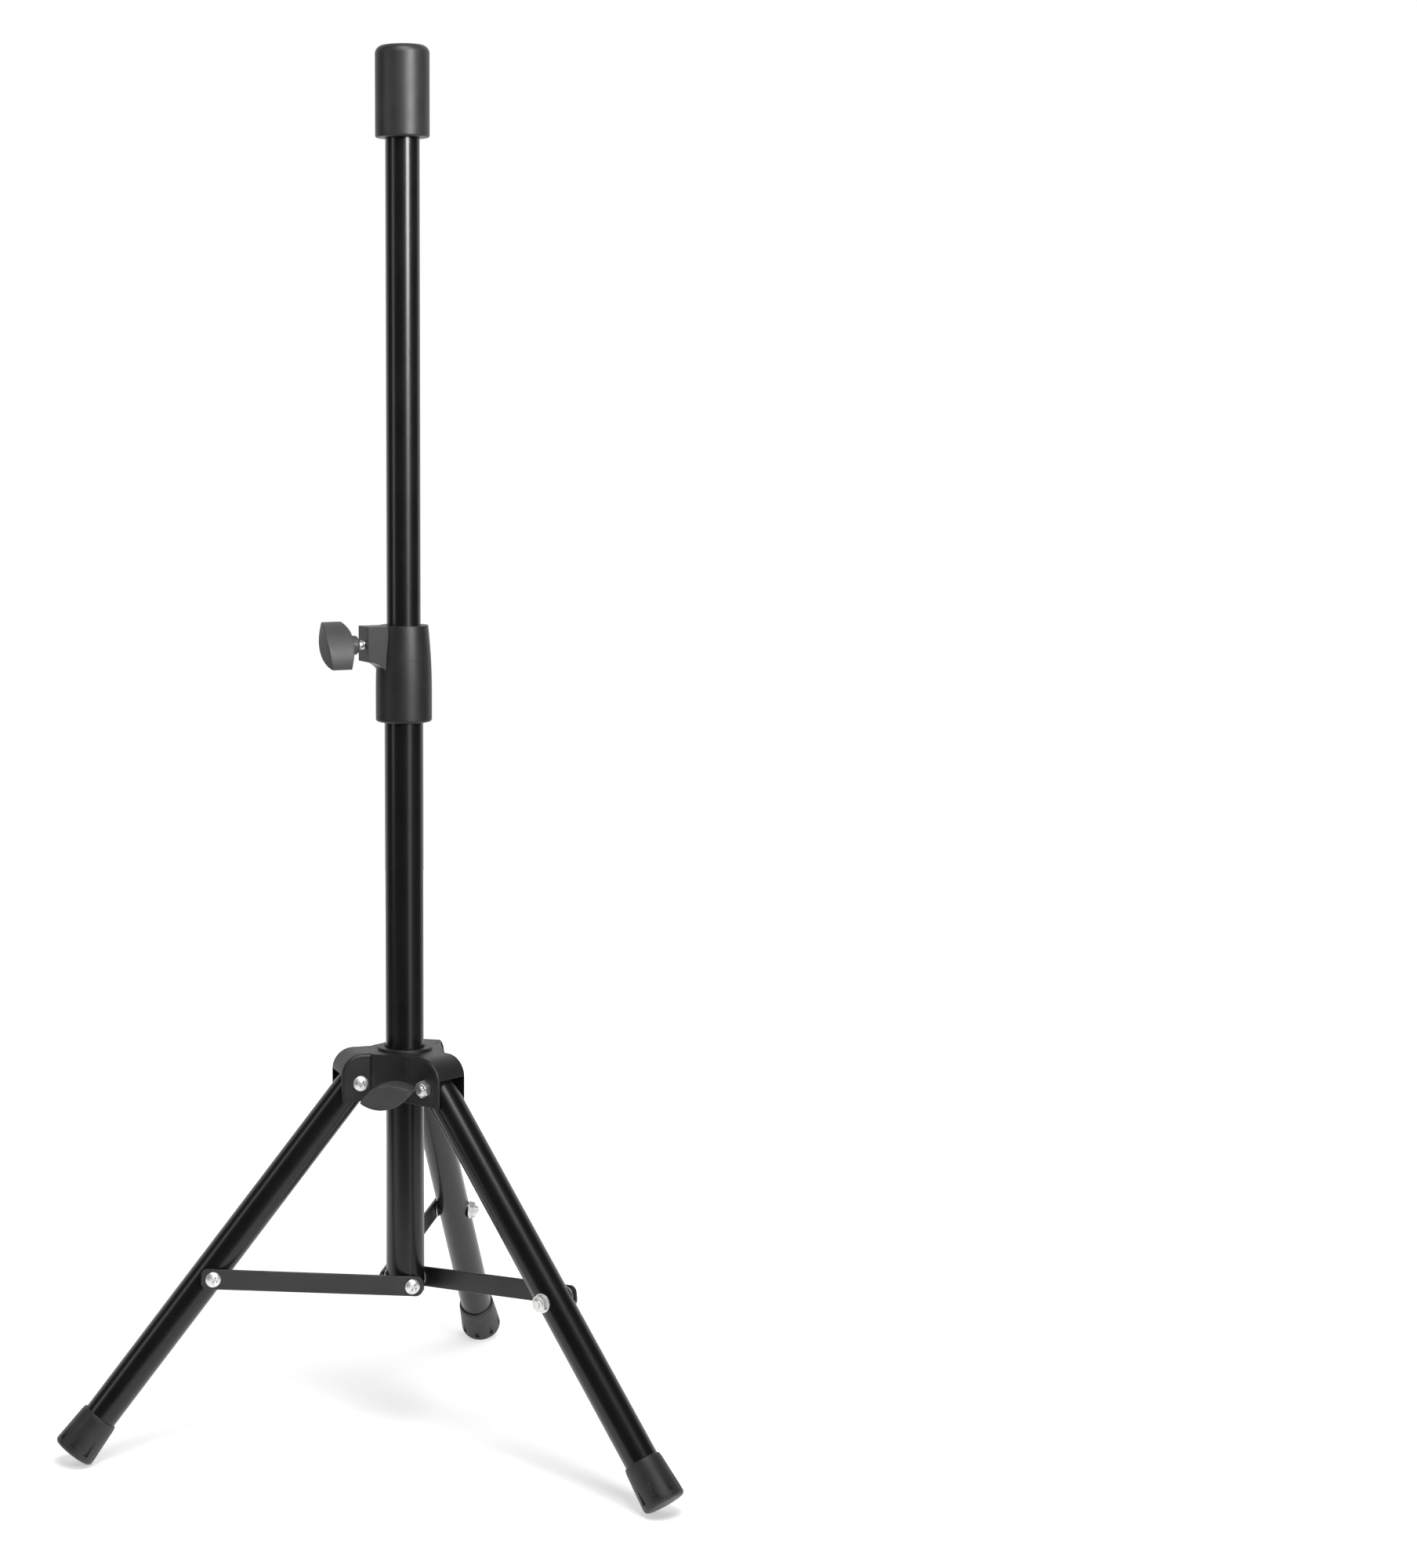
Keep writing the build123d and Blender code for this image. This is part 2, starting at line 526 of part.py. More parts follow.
# ---- Legs, feet, struts and their fasteners ----
for number, azimuth in enumerate(LEG_AZIMUTHS, 1):
    leg_axis = Plane(leg_pivot(azimuth), sideways(azimuth), leg_direction(azimuth))

    with BuildPart() as leg_tube:
        with BuildSketch(leg_axis.offset(-LEG_HEAD)):
            Circle(LEG_TUBE_R)
            Circle(LEG_TUBE_R - TUBE_WALL, mode=Mode.SUBTRACT)
        extrude(amount=LEG_HEAD + LEG_TUBE_LENGTH)
        with BuildSketch(leg_section(azimuth)):
            with Locations((0, 0), (STRUT_ON_LEG, 0)):
                Circle(SCREW_R + RUN_PLAY)
        extrude(amount=LEG_TUBE_R * 2, both=True, mode=Mode.SUBTRACT)
    save(leg_tube.part, f"leg_tube_{number}")

    with BuildPart() as foot:
        with BuildSketch(leg_section(azimuth)):
            with BuildLine():
                Polyline(
                    (LEG_REACH - FOOT_LENGTH, 0), (LEG_REACH - FOOT_LENGTH, FOOT_TOP_R),
                    (LEG_REACH, FOOT_BOTTOM_R), (LEG_REACH, 0), close=True,
                )
            make_face()
        revolve(axis=Axis(leg_axis.origin, leg_axis.z_dir))
        rims = foot.edges().filter_by(GeomType.CIRCLE).sort_by(Axis(leg_axis.origin, leg_axis.z_dir))
        fillet(rims[-1], FOOT_EDGE_R)
        fillet(rims[0], FOOT_LIP_ROUND)
        with BuildSketch(leg_axis.offset(LEG_REACH - FOOT_LENGTH)):
            Circle(LEG_TUBE_R + SEAT_PLAY)
        extrude(amount=FOOT_LENGTH - FOOT_SOLE, mode=Mode.SUBTRACT)
        # Flutes that widen towards the floor and stop at the sole's rim.
        for step in range(FLUTE_COUNT):
            turn = math.radians(step * 360 / FLUTE_COUNT)
            across = leg_axis.x_dir * math.cos(turn) + leg_axis.y_dir * math.sin(turn)
            flute_plane = Plane(leg_axis.origin, leg_axis.z_dir, across).offset(FLUTE_FLOOR_R)
            with BuildSketch(flute_plane):
                with BuildLine():
                    Polyline(
                        (LEG_REACH - FLUTE_LENGTH, 0), (LEG_REACH - FLUTE_END, FLUTE_HALF_WIDTH),
                        (LEG_REACH - FLUTE_END, -FLUTE_HALF_WIDTH), close=True,
                    )
                make_face()
            extrude(amount=FOOT_EDGE_R, mode=Mode.SUBTRACT)
    save(foot.part, f"leg_foot_{number}")

    # The bar leans in a little, from beside the mast to beside the leg.
    inner = pivot_plane(azimuth, 0, STRUT_PIVOT_Z, INNER_BAR_FACE)
    outer = pivot_plane(azimuth, STRUT_OUTER_R, STRUT_OUTER_Z, OUTER_BAR_FACE)
    along = (outer.origin - inner.origin).normalized()
    bar_plane = Plane(inner.origin, along, sideways(azimuth) - along * along.dot(sideways(azimuth)))
    bar_span = (outer.origin - inner.origin).length

    with BuildPart() as strut:
        with BuildSketch(bar_plane):
            with Locations((bar_span / 2, 0)):
                RectangleRounded(bar_span + STRUT_END * 2, STRUT_HEIGHT, STRUT_CORNER_R)
            with Locations((0, 0), (bar_span, 0)):
                Circle(SCREW_R + RUN_PLAY * 2, mode=Mode.SUBTRACT)
        extrude(amount=STRUT_THICK)
        outline = strut.edges().filter_by(
            lambda edge: abs((edge @ 0.5 - bar_plane.origin).dot(bar_plane.y_dir)) > SCREW_R + 1
            or not -SCREW_R - 1 < (edge @ 0.5 - bar_plane.origin).dot(along) < bar_span + SCREW_R + 1
        )
        fillet(outline.filter_by(
            lambda edge: abs((edge.tangent_at(0.5)).dot(bar_plane.z_dir)) < 0.5
        ), STRUT_EDGE_ROUND)
    save(strut.part, f"strut_{number}")

    head_seat = INNER_BAR_FACE + STRUT_THICK + SLIP_GAP
    inner_seat = pivot_plane(azimuth, 0, STRUT_PIVOT_Z, head_seat)
    save(pan_head_screw(inner_seat, head_seat - SCREW_IN_PLUG_R), f"strut_screw_{number}")
    inner_washer_top = pivot_plane(azimuth, 0, STRUT_PIVOT_Z, LOWER_TUBE_R + WASHER_THICK)
    save(washer(inner_washer_top), f"strut_screw_washer_{number}")

    # The bolt between strut and leg, parted behind the bar.
    bolt_seat = Plane(outer.origin, along, bar_plane.z_dir).offset(STRUT_THICK)
    save(pan_head_screw(bolt_seat, STRUT_THICK), f"strut_bolt_head_{number}")
    leg_washer_top = outer.offset(LEG_FACE + WASHER_THICK - OUTER_BAR_FACE)
    save(washer(leg_washer_top), f"strut_bolt_washer_{number}")
    leg_back = outer.offset(LEG_BACK - OUTER_BAR_FACE)
    stem = LEG_FACE + WASHER_THICK - LEG_BACK + WASHER_THICK + NUT_HEIGHT
    stem += NUT_COLLAR_HEIGHT + BOLT_PAST_NUT
    save(pan_head_screw(leg_washer_top, stem, head=False), f"strut_bolt_shank_{number}")
    save(washer(leg_back), f"strut_nut_washer_{number}")
    save(lock_nut(leg_back.offset(-WASHER_THICK)), f"strut_nut_{number}")

    hub_seat = pivot_plane(azimuth, HUB_PIVOT_R, HUB_PIVOT_Z, HUB_FACE)
    hub_bolt_length = HUB_FACE - HUB_BACK + NUT_HEIGHT + NUT_COLLAR_HEIGHT + BOLT_PAST_NUT
    save(pan_head_screw(hub_seat, hub_bolt_length), f"hub_bolt_{number}")
    save(lock_nut(hub_seat.offset(HUB_BACK - HUB_FACE)), f"hub_nut_{number}")

print("leg reach", round(LEG_REACH, 3))
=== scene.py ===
"""Speaker tripod stand: materials, small metalwork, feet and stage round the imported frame."""

import json
import math

import bpy
from bpy.props import FloatProperty, FloatVectorProperty, IntProperty, PointerProperty
from bpy.types import Operator, Panel, PropertyGroup
from mathutils import Matrix, Vector

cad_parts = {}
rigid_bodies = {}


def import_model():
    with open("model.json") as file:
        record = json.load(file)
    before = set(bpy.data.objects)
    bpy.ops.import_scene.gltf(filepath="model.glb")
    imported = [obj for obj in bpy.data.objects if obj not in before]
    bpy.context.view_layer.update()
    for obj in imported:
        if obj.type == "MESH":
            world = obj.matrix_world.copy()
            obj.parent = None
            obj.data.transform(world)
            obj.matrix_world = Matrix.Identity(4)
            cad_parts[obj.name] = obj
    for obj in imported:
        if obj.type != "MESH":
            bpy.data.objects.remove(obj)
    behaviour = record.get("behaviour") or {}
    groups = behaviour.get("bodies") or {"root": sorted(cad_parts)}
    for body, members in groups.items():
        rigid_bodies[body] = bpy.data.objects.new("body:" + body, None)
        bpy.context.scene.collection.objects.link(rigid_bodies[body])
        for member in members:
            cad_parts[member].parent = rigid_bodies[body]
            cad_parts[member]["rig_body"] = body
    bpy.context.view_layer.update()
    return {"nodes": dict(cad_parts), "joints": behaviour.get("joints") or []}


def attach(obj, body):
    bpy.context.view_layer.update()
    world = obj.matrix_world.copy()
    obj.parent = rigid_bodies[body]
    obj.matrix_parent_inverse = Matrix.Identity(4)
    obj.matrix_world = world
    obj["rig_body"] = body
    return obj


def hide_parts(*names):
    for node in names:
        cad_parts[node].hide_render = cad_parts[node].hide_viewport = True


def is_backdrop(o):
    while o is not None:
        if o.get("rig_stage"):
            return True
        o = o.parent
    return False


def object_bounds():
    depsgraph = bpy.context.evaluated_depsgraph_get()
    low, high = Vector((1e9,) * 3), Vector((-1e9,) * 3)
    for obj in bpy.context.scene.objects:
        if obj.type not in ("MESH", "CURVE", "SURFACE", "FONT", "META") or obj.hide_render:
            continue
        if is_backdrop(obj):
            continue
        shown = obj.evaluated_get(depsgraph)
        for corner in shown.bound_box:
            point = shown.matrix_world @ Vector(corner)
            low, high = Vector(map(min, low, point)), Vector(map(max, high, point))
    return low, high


bl_info = {
    "name": "Speaker Tripod Stand",
    "version": (1, 0, 0),
    "blender": (4, 5, 0),
    "location": "3D View > Sidebar > Tripod Stand",
    "description": "Finishes a folding speaker tripod: enamelled tubes, moulded hub, rubber feet",
    "category": "Add Mesh",
}

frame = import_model()
MM = 0.001
LEG_NUMBERS = (1, 2, 3)
HEAD_HEIGHT = 2.6 * MM
NUT_COLLAR_HEIGHT = 1.2 * MM
THREAD_SHARE = 0.42  # height of a thread's ridge, as a share of its pitch
DOME_SQUARENESS = 3.4  # how late a screw head's side turns in
DOME_ROOT = 2.4
RECESS_TIP_RADIUS = 0.4 * MM
RECESS_FLARE = 1.3  # the cross recess at its mouth, against its arm's width
RECESS_SINK = 1.2  # its tapered centre, against its depth
NUT_TOP_SHARE = 0.87  # radius of the turned chamfer, against the nut's corners
COLLAR_SINK = 0.02 * MM
WASHER_EDGE_SHARE = 0.22  # rounding of a washer's edge, against its thickness
FLUTE_EDGE = 0.35 * MM  # soft step at a flute's sides
LIP_ROLL = 0.7 * MM  # how far the foot's lip turns in at the top
NECK_SHARPNESS = 3.0
FOOT_SHARP_DEGREES = 50.0

# The stage, in metres from the mast's axis.
FLOOR_FRONT = 0.55
FLOOR_BACK = 2.5
FLOOR_HALF_WIDTH = 0.8
GLOW_START = 0.4
GLOW_FULL = 0.8
KEY_AWAY = 1.7
KEY_RISE = 0.78  # above the stand's middle, as the fill's
KEY_SIZE = (0.5, 0.9)
KEY_BEAM = math.radians(50)
KEY_AIM = Vector((0, 0, 0.85))
REFLECTOR_DROP = 0.15
FILL_AWAY = 1.6
FILL_RISE = 0.5
FILL_SIZE = (0.35, 1.6)
OVERHEAD_AWAY = 2.2
OVERHEAD_SIZE = (0.9, 0.9)
PAPER_FULL = -0.75  # how far a direction leans from the camera's side, -1 is straight away
PAPER_END = -0.2


# ---- Colours and materials ----
def linear(hex_colour):
    """sRGB hex, such as '3a3b3c', to linear RGBA."""
    channels = [int(hex_colour[i:i + 2], 16) / 255 for i in (0, 2, 4)]
    return [c / 12.92 if c <= 0.04045 else ((c + 0.055) / 1.055) ** 2.4 for c in channels] + [1.0]


def colour_property(name, description, hex_colour):
    return FloatVectorProperty(
        name=name, description=description, subtype="COLOR", size=4, min=0.0, max=1.0,
        default=linear(hex_colour),
    )


def length_property(name, description, millimetres):
    return FloatProperty(
        name=name, description=description, unit="LENGTH", default=millimetres * MM, min=0.0,
        precision=4,
    )


def add_node(tree, kind, settings=None, **inputs):
    """Adds a node. settings are its own properties; an input is a value or a socket to link."""
    node = tree.nodes.new(kind)
    for name, value in (settings or {}).items():
        setattr(node, name, value)
    for name, value in inputs.items():
        key = int(name[1:]) if name[0] == "i" and name[1:].isdigit() else name.replace("_", " ")
        if isinstance(value, bpy.types.NodeSocket):
            tree.links.new(value, node.inputs[key])
        else:
            node.inputs[key].default_value = value
    return node


def new_material(name):
    """Empty node material with a Principled shader; returns (material, tree, shader)."""
    material = bpy.data.materials.new(name)
    material.use_nodes = True
    tree = material.node_tree
    tree.nodes.clear()
    shader = add_node(tree, "ShaderNodeBsdfPrincipled")
    add_node(tree, "ShaderNodeOutputMaterial", i0=shader.outputs[0])
    return material, tree, shader


def mottled(tree, coords, dark, light, size_mm, low=0.35, high=0.65, detail=3.0):
    """Colour that drifts between two tones in patches of about size_mm."""
    noise = add_node(tree, "ShaderNodeTexNoise", Vector=coords, Scale=1000 / size_mm, Detail=detail)
    ramp = add_node(tree, "ShaderNodeValToRGB", Fac=noise.outputs[0])
    ramp.color_ramp.elements[0].position = low
    ramp.color_ramp.elements[0].color = dark
    ramp.color_ramp.elements[1].position = high
    ramp.color_ramp.elements[1].color = light
    return ramp.outputs[0]


def spread(tree, value, low, high):
    """A 0-1 value taken to the range low-high."""
    return add_node(
        tree, "ShaderNodeMapRange", Value=value, To_Min=low, To_Max=high
    ).outputs[0]


def grain(tree, coords, kind, size_mm, depth_mm, strength=1.0, normal=None):
    """Bump of raised grains about size_mm across and depth_mm high."""
    if kind == "cells":
        pattern = add_node(tree, "ShaderNodeTexVoronoi", Vector=coords, Scale=1000 / size_mm)
    else:
        pattern = add_node(
            tree, "ShaderNodeTexNoise", Vector=coords, Scale=1000 / size_mm, Detail=4.0
        )
    bump = add_node(
        tree, "ShaderNodeBump", Height=pattern.outputs[0], Distance=depth_mm * MM, Strength=strength
    )
    if normal is not None:
        tree.links.new(normal, bump.inputs["Normal"])
    return bump.outputs[0]


def object_coords(tree):
    return add_node(tree, "ShaderNodeTexCoord").outputs["Object"]


def edge_round(tree, radius_mm):
    """Softens the light on edges, as a radius of that size does."""
    return add_node(tree, "ShaderNodeBevel", {"samples": 6}, Radius=radius_mm * MM).outputs[0]


def enamelled_steel(name, dark, light, roughness, coat):
    """Steel tube or strip in baked black enamel. The enamel flows level, so it shows long
    clean highlights, with a faint orange peel about 2 mm across and handling haze."""
    material, tree, shader = new_material(name)
    coords = object_coords(tree)
    tree.links.new(mottled(tree, coords, dark, light, 22.0), shader.inputs["Base Color"])
    haze = add_node(tree, "ShaderNodeTexNoise", Vector=coords, Scale=1000 / 9.0, Detail=5.0)
    rough = spread(tree, haze.outputs[0], roughness - 0.012, roughness + 0.012)
    tree.links.new(rough, shader.inputs["Roughness"])
    shader.inputs["IOR"].default_value = 1.46
    shader.inputs["Coat Weight"].default_value = coat
    shader.inputs["Coat Roughness"].default_value = 0.12
    peel = grain(tree, coords, "noise", 2.0, 0.0008)
    tree.links.new(peel, shader.inputs["Normal"])
    return material


def moulded_plastic(name, dark, light, roughness, grain_mm, depth_mm, rounding_mm):
    """Glass-filled nylon from a spark-eroded mould: matte, with a fine pebble. The pebble is
    drawn at about twice its real size so that it shows."""
    material, tree, shader = new_material(name)
    coords = object_coords(tree)
    tree.links.new(mottled(tree, coords, dark, light, 14.0), shader.inputs["Base Color"])
    wear = add_node(tree, "ShaderNodeTexNoise", Vector=coords, Scale=1000 / 6.0, Detail=4.0)
    rough = spread(tree, wear.outputs[0], roughness - 0.05, roughness + 0.05)
    tree.links.new(rough, shader.inputs["Roughness"])
    shader.inputs["IOR"].default_value = 1.5
    soft = edge_round(tree, rounding_mm)
    pebble = grain(tree, coords, "cells", grain_mm, depth_mm, 0.6, soft)
    tree.links.new(pebble, shader.inputs["Normal"])
    return material


def moulded_rubber(name):
    """Carbon-black rubber from a plain mould: soft sheen and a dusty tone that drifts in patches."""
    material, tree, shader = new_material(name)
    coords = object_coords(tree)
    dust = mottled(tree, coords, linear("161617"), linear("202021"), 8.0)
    tree.links.new(dust, shader.inputs["Base Color"])
    shader.inputs["Roughness"].default_value = 0.5
    shader.inputs["IOR"].default_value = 1.52
    shader.inputs["Sheen Weight"].default_value = 0.05
    shader.inputs["Sheen Roughness"].default_value = 0.5
    tree.links.new(grain(tree, coords, "noise", 0.9, 0.03), shader.inputs["Normal"])
    return material


def zinc_plated_steel(name):
    """Bright zinc plate: a slightly blue mirror, cloudy where it was handled."""
    if name in bpy.data.materials:
        return bpy.data.materials[name]
    material, tree, shader = new_material(name)
    coords = object_coords(tree)
    plate = mottled(tree, coords, linear("dadddd"), linear("f0f0ec"), 3.0)
    tree.links.new(plate, shader.inputs["Base Color"])
    shader.inputs["Metallic"].default_value = 1.0
    cloud = add_node(tree, "ShaderNodeTexNoise", Vector=coords, Scale=1000 / 1.5, Detail=3.0)
    rough = spread(tree, cloud.outputs[0], 0.32, 0.5)
    tree.links.new(rough, shader.inputs["Roughness"])
    tree.links.new(grain(tree, coords, "noise", 0.4, 0.006), shader.inputs["Normal"])
    return material


def give(node_or_piece, material):
    """Puts one material on the whole of a CAD node or a piece."""
    piece = frame["nodes"].get(node_or_piece, node_or_piece)
    piece.data.materials.clear()
    piece.data.materials.append(material)
    return piece


# ---- Places, read from the frame ----
JOINTS = {joint["name"]: joint for joint in frame["joints"]}


def reach(node, origin, direction):
    """How far a CAD node reaches along a direction from a point: (nearest, furthest)."""
    along = [(v.co - origin).dot(direction) for v in frame["nodes"][node].data.vertices]
    return min(along), max(along)


# ---- Geometry Nodes ----
def new_tree(name, inputs):
    """Geometry tree with number inputs by name; returns (tree, their sockets)."""
    tree = bpy.data.node_groups.new(name, "GeometryNodeTree")
    tree.interface.new_socket("Places", in_out="INPUT", socket_type="NodeSocketGeometry")
    for label, default in inputs.items():
        kind = "NodeSocketInt" if isinstance(default, int) else "NodeSocketFloat"
        socket = tree.interface.new_socket(label, in_out="INPUT", socket_type=kind)
        socket.default_value = default
    tree.interface.new_socket("Mesh", in_out="OUTPUT", socket_type="NodeSocketGeometry")
    entry = add_node(tree, "NodeGroupInput")
    return tree, {socket.name: socket for socket in entry.outputs if socket.name}


def maths(tree, operation, first, second=0.0):
    node = add_node(tree, "ShaderNodeMath", {"operation": operation}, i0=first, i1=second)
    return node.outputs[0]


def along_z(tree, z):
    return add_node(tree, "ShaderNodeCombineXYZ", Z=z).outputs[0]


def moved(tree, geometry, offset):
    node = add_node(tree, "GeometryNodeTransform", Geometry=geometry, Translation=offset)
    return node.outputs[0]


def cylinder(tree, radius, depth, base, segments=48):
    """Closed cylinder that stands on height base."""
    node = add_node(
        tree, "GeometryNodeMeshCylinder", Vertices=segments, Radius=radius, Depth=depth
    )
    middle = maths(tree, "ADD", base, maths(tree, "DIVIDE", depth, 2.0))
    return moved(tree, node.outputs[0], along_z(tree, middle))


def joined(tree, *parts):
    node = add_node(tree, "GeometryNodeJoinGeometry")
    for part in parts:
        tree.links.new(part, node.inputs[0])
    return node.outputs[0]


def cut(tree, body, tool, operation="DIFFERENCE"):
    """Takes the tool from the body, or with INTERSECT keeps what they share."""
    node = add_node(
        tree, "GeometryNodeMeshBoolean", {"operation": operation, "solver": "EXACT"}
    )
    tree.links.new(body, node.inputs[0 if operation == "DIFFERENCE" else 1])
    tree.links.new(tool, node.inputs[1])
    return node.outputs[0]


def finish_tree(tree, places, piece, material):
    """Copies the piece to every place, along its facing, and gives it its material."""
    facing = add_node(
        tree, "GeometryNodeInputNamedAttribute", {"data_type": "FLOAT_VECTOR"}, Name="facing"
    )
    turn = add_node(tree, "FunctionNodeAlignRotationToVector", {"axis": "Z"})
    tree.links.new(facing.outputs[0], turn.inputs["Vector"])
    copies = add_node(
        tree, "GeometryNodeInstanceOnPoints", Points=places, Instance=piece,
        Rotation=turn.outputs[0],
    )
    whole = add_node(tree, "GeometryNodeRealizeInstances", Geometry=copies.outputs[0])
    coloured = add_node(tree, "GeometryNodeSetMaterial", Geometry=whole.outputs[0])
    coloured.inputs["Material"].default_value = material
    add_node(tree, "NodeGroupOutput", i0=coloured.outputs[0])


def thread(tree, radius, pitch, start, length):
    """A screw thread's ridge, wound from start for a length along Z."""
    spiral = add_node(
        tree, "GeometryNodeCurveSpiral", Resolution=24, Rotations=maths(tree, "DIVIDE", length, pitch),
        Start_Radius=radius, End_Radius=radius, Height=length,
    )
    ridge = add_node(
        tree, "GeometryNodeCurvePrimitiveCircle", Resolution=4,
        Radius=maths(tree, "MULTIPLY", pitch, THREAD_SHARE),
    )
    swept = add_node(
        tree, "GeometryNodeCurveToMesh", Curve=spiral.outputs[0], Profile_Curve=ridge.outputs[0],
        Fill_Caps=True,
    )
    return moved(tree, swept.outputs[0], along_z(tree, start))


def threaded_rod(tree, radius, pitch, start, length):
    """Core and ridge of a thread, with plain ends one pitch long."""
    core = maths(tree, "SUBTRACT", radius, maths(tree, "MULTIPLY", pitch, THREAD_SHARE))
    rod = cylinder(tree, core, length, start)
    wound = maths(tree, "SUBTRACT", length, maths(tree, "MULTIPLY", pitch, 2.0))
    ridge = thread(tree, core, pitch, maths(tree, "ADD", start, pitch), wound)
    return joined(tree, rod, ridge)


def domed_line(tree, height, radius, steps=28):
    """A line up Z whose point radii fall off like a squared circle's, skinned with a ring."""
    line = add_node(tree, "GeometryNodeCurvePrimitiveLine", End=along_z(tree, height))
    points = add_node(tree, "GeometryNodeResampleCurve", Curve=line.outputs[0], Count=steps)
    factor = add_node(tree, "GeometryNodeSplineParameter").outputs["Factor"]
    rest = maths(tree, "SUBTRACT", 1.0, factor)
    eased = maths(tree, "SUBTRACT", 1.0, maths(tree, "POWER", rest, 2.0))
    lost = maths(tree, "POWER", eased, DOME_SQUARENESS)
    share = maths(tree, "POWER", maths(tree, "SUBTRACT", 1.0001, lost), 1 / DOME_ROOT)
    placed = add_node(
        tree, "GeometryNodeSetPosition", Geometry=points.outputs[0],
        Position=along_z(tree, maths(tree, "MULTIPLY", eased, height)),
    )
    ring = add_node(tree, "GeometryNodeCurvePrimitiveCircle", Resolution=48, Radius=radius)
    skin = add_node(
        tree, "GeometryNodeCurveToMesh", Curve=placed.outputs[0], Profile_Curve=ring.outputs[0],
        Scale=share, Fill_Caps=True,
    )
    return skin.outputs[0]


def screw_tree(material, sizes):
    """Pan-head screw with a cross recess: seat at Z 0, head above it, threaded shank below."""
    tree, entry = new_tree("pan_head_screw", {
        "Head radius": 5.2 * MM, "Head height": 2.6 * MM, "Shank radius": 3.0 * MM,
        "Shank length": 10.0 * MM, "Thread length": 8.0 * MM,
        "Thread pitch": sizes.thread_pitch, "Recess length": sizes.recess_length,
        "Recess width": sizes.recess_width, "Recess depth": sizes.recess_depth,
    })
    head = domed_line(tree, entry["Head height"], entry["Head radius"])
    # The recess is two crossed bars and a tapered centre.
    bar_size = add_node(
        tree, "ShaderNodeCombineXYZ", X=entry["Recess length"], Y=entry["Recess width"],
        Z=maths(tree, "MULTIPLY", entry["Recess depth"], 2.0),
    )
    bar = add_node(tree, "GeometryNodeMeshCube", Size=bar_size.outputs[0])
    one = moved(tree, bar.outputs[0], along_z(tree, entry["Head height"]))
    other = add_node(
        tree, "GeometryNodeTransform", Geometry=one, Rotation=(0.0, 0.0, math.pi / 2)
    )
    taper = add_node(
        tree, "GeometryNodeMeshCone", Vertices=16, Radius_Bottom=RECESS_TIP_RADIUS,
        Radius_Top=maths(tree, "MULTIPLY", entry["Recess width"], RECESS_FLARE),
        Depth=maths(tree, "MULTIPLY", entry["Recess depth"], RECESS_SINK),
    )
    floor = maths(tree, "SUBTRACT", entry["Head height"], entry["Recess depth"])
    centre = moved(tree, taper.outputs[0], along_z(tree, floor))
    slotted = cut(tree, cut(tree, cut(tree, head, one), other.outputs[0]), centre)
    # The shank is plain down to where the thread starts.
    plain_length = maths(tree, "SUBTRACT", entry["Shank length"], entry["Thread length"])
    plain = cylinder(
        tree, entry["Shank radius"], plain_length, maths(tree, "MULTIPLY", plain_length, -1.0)
    )
    bottom = maths(tree, "MULTIPLY", entry["Shank length"], -1.0)
    rod = threaded_rod(
        tree, entry["Shank radius"], entry["Thread pitch"], bottom, entry["Thread length"]
    )
    finish_tree(tree, entry["Places"], joined(tree, slotted, plain, rod), material)
    return tree


def rod_tree(material, sizes):
    """Threaded rod from Z 0 up."""
    tree, entry = new_tree("threaded_rod", {
        "Radius": 3.0 * MM, "Length": 10.0 * MM, "Thread pitch": sizes.thread_pitch,
    })
    rod = threaded_rod(tree, entry["Radius"], entry["Thread pitch"], 0.0, entry["Length"])
    finish_tree(tree, entry["Places"], rod, material)
    return tree


def nut_tree(material):
    """Lock nut that stands on Z 0: chamfered hexagon under a round locking collar."""
    tree, entry = new_tree("lock_nut", {
        "Corner radius": 5.8 * MM, "Hexagon height": 3.2 * MM, "Collar radius": 4.3 * MM,
        "Collar height": 1.2 * MM,
    })
    height, corner = entry["Hexagon height"], entry["Corner radius"]
    hexagon = cylinder(tree, corner, height, 0.0, 6)
    # The turned chamfer is what a cone leaves of the hexagon's corners.
    cone = add_node(
        tree, "GeometryNodeMeshCone", Vertices=64, Depth=height,
        Radius_Top=maths(tree, "MULTIPLY", corner, NUT_TOP_SHARE),
        Radius_Bottom=maths(tree, "ADD", corner, height),
    )
    turned = cut(tree, hexagon, cone.outputs[0], "INTERSECT")
    collar = moved(
        tree, domed_line(tree, entry["Collar height"], entry["Collar radius"]),
        along_z(tree, maths(tree, "SUBTRACT", height, COLLAR_SINK)),
    )
    finish_tree(tree, entry["Places"], joined(tree, turned, collar), material)
    return tree


def washer_tree(material):
    """Flat washer that stands on Z 0, with stamped round edges."""
    tree, entry = new_tree("flat_washer", {
        "Outer radius": 6.0 * MM, "Inner radius": 3.0 * MM, "Thickness": 0.9 * MM,
    })
    outer, inner, thickness = entry["Outer radius"], entry["Inner radius"], entry["Thickness"]
    middle = maths(tree, "DIVIDE", maths(tree, "ADD", outer, inner), 2.0)
    path = add_node(tree, "GeometryNodeCurvePrimitiveCircle", Resolution=64, Radius=middle)
    section = add_node(
        tree, "GeometryNodeCurvePrimitiveQuadrilateral",
        Width=maths(tree, "SUBTRACT", outer, inner), Height=thickness,
    )
    rounded = add_node(
        tree, "GeometryNodeFilletCurve", {"mode": "POLY"}, Curve=section.outputs[0], Count=4,
        Radius=maths(tree, "MULTIPLY", thickness, WASHER_EDGE_SHARE),
    )
    ring = add_node(
        tree, "GeometryNodeCurveToMesh", Curve=path.outputs[0], Profile_Curve=rounded.outputs[0]
    )
    half = maths(tree, "DIVIDE", thickness, 2.0)
    lifted = moved(tree, ring.outputs[0], along_z(tree, half))
    finish_tree(tree, entry["Places"], lifted, material)
    return tree


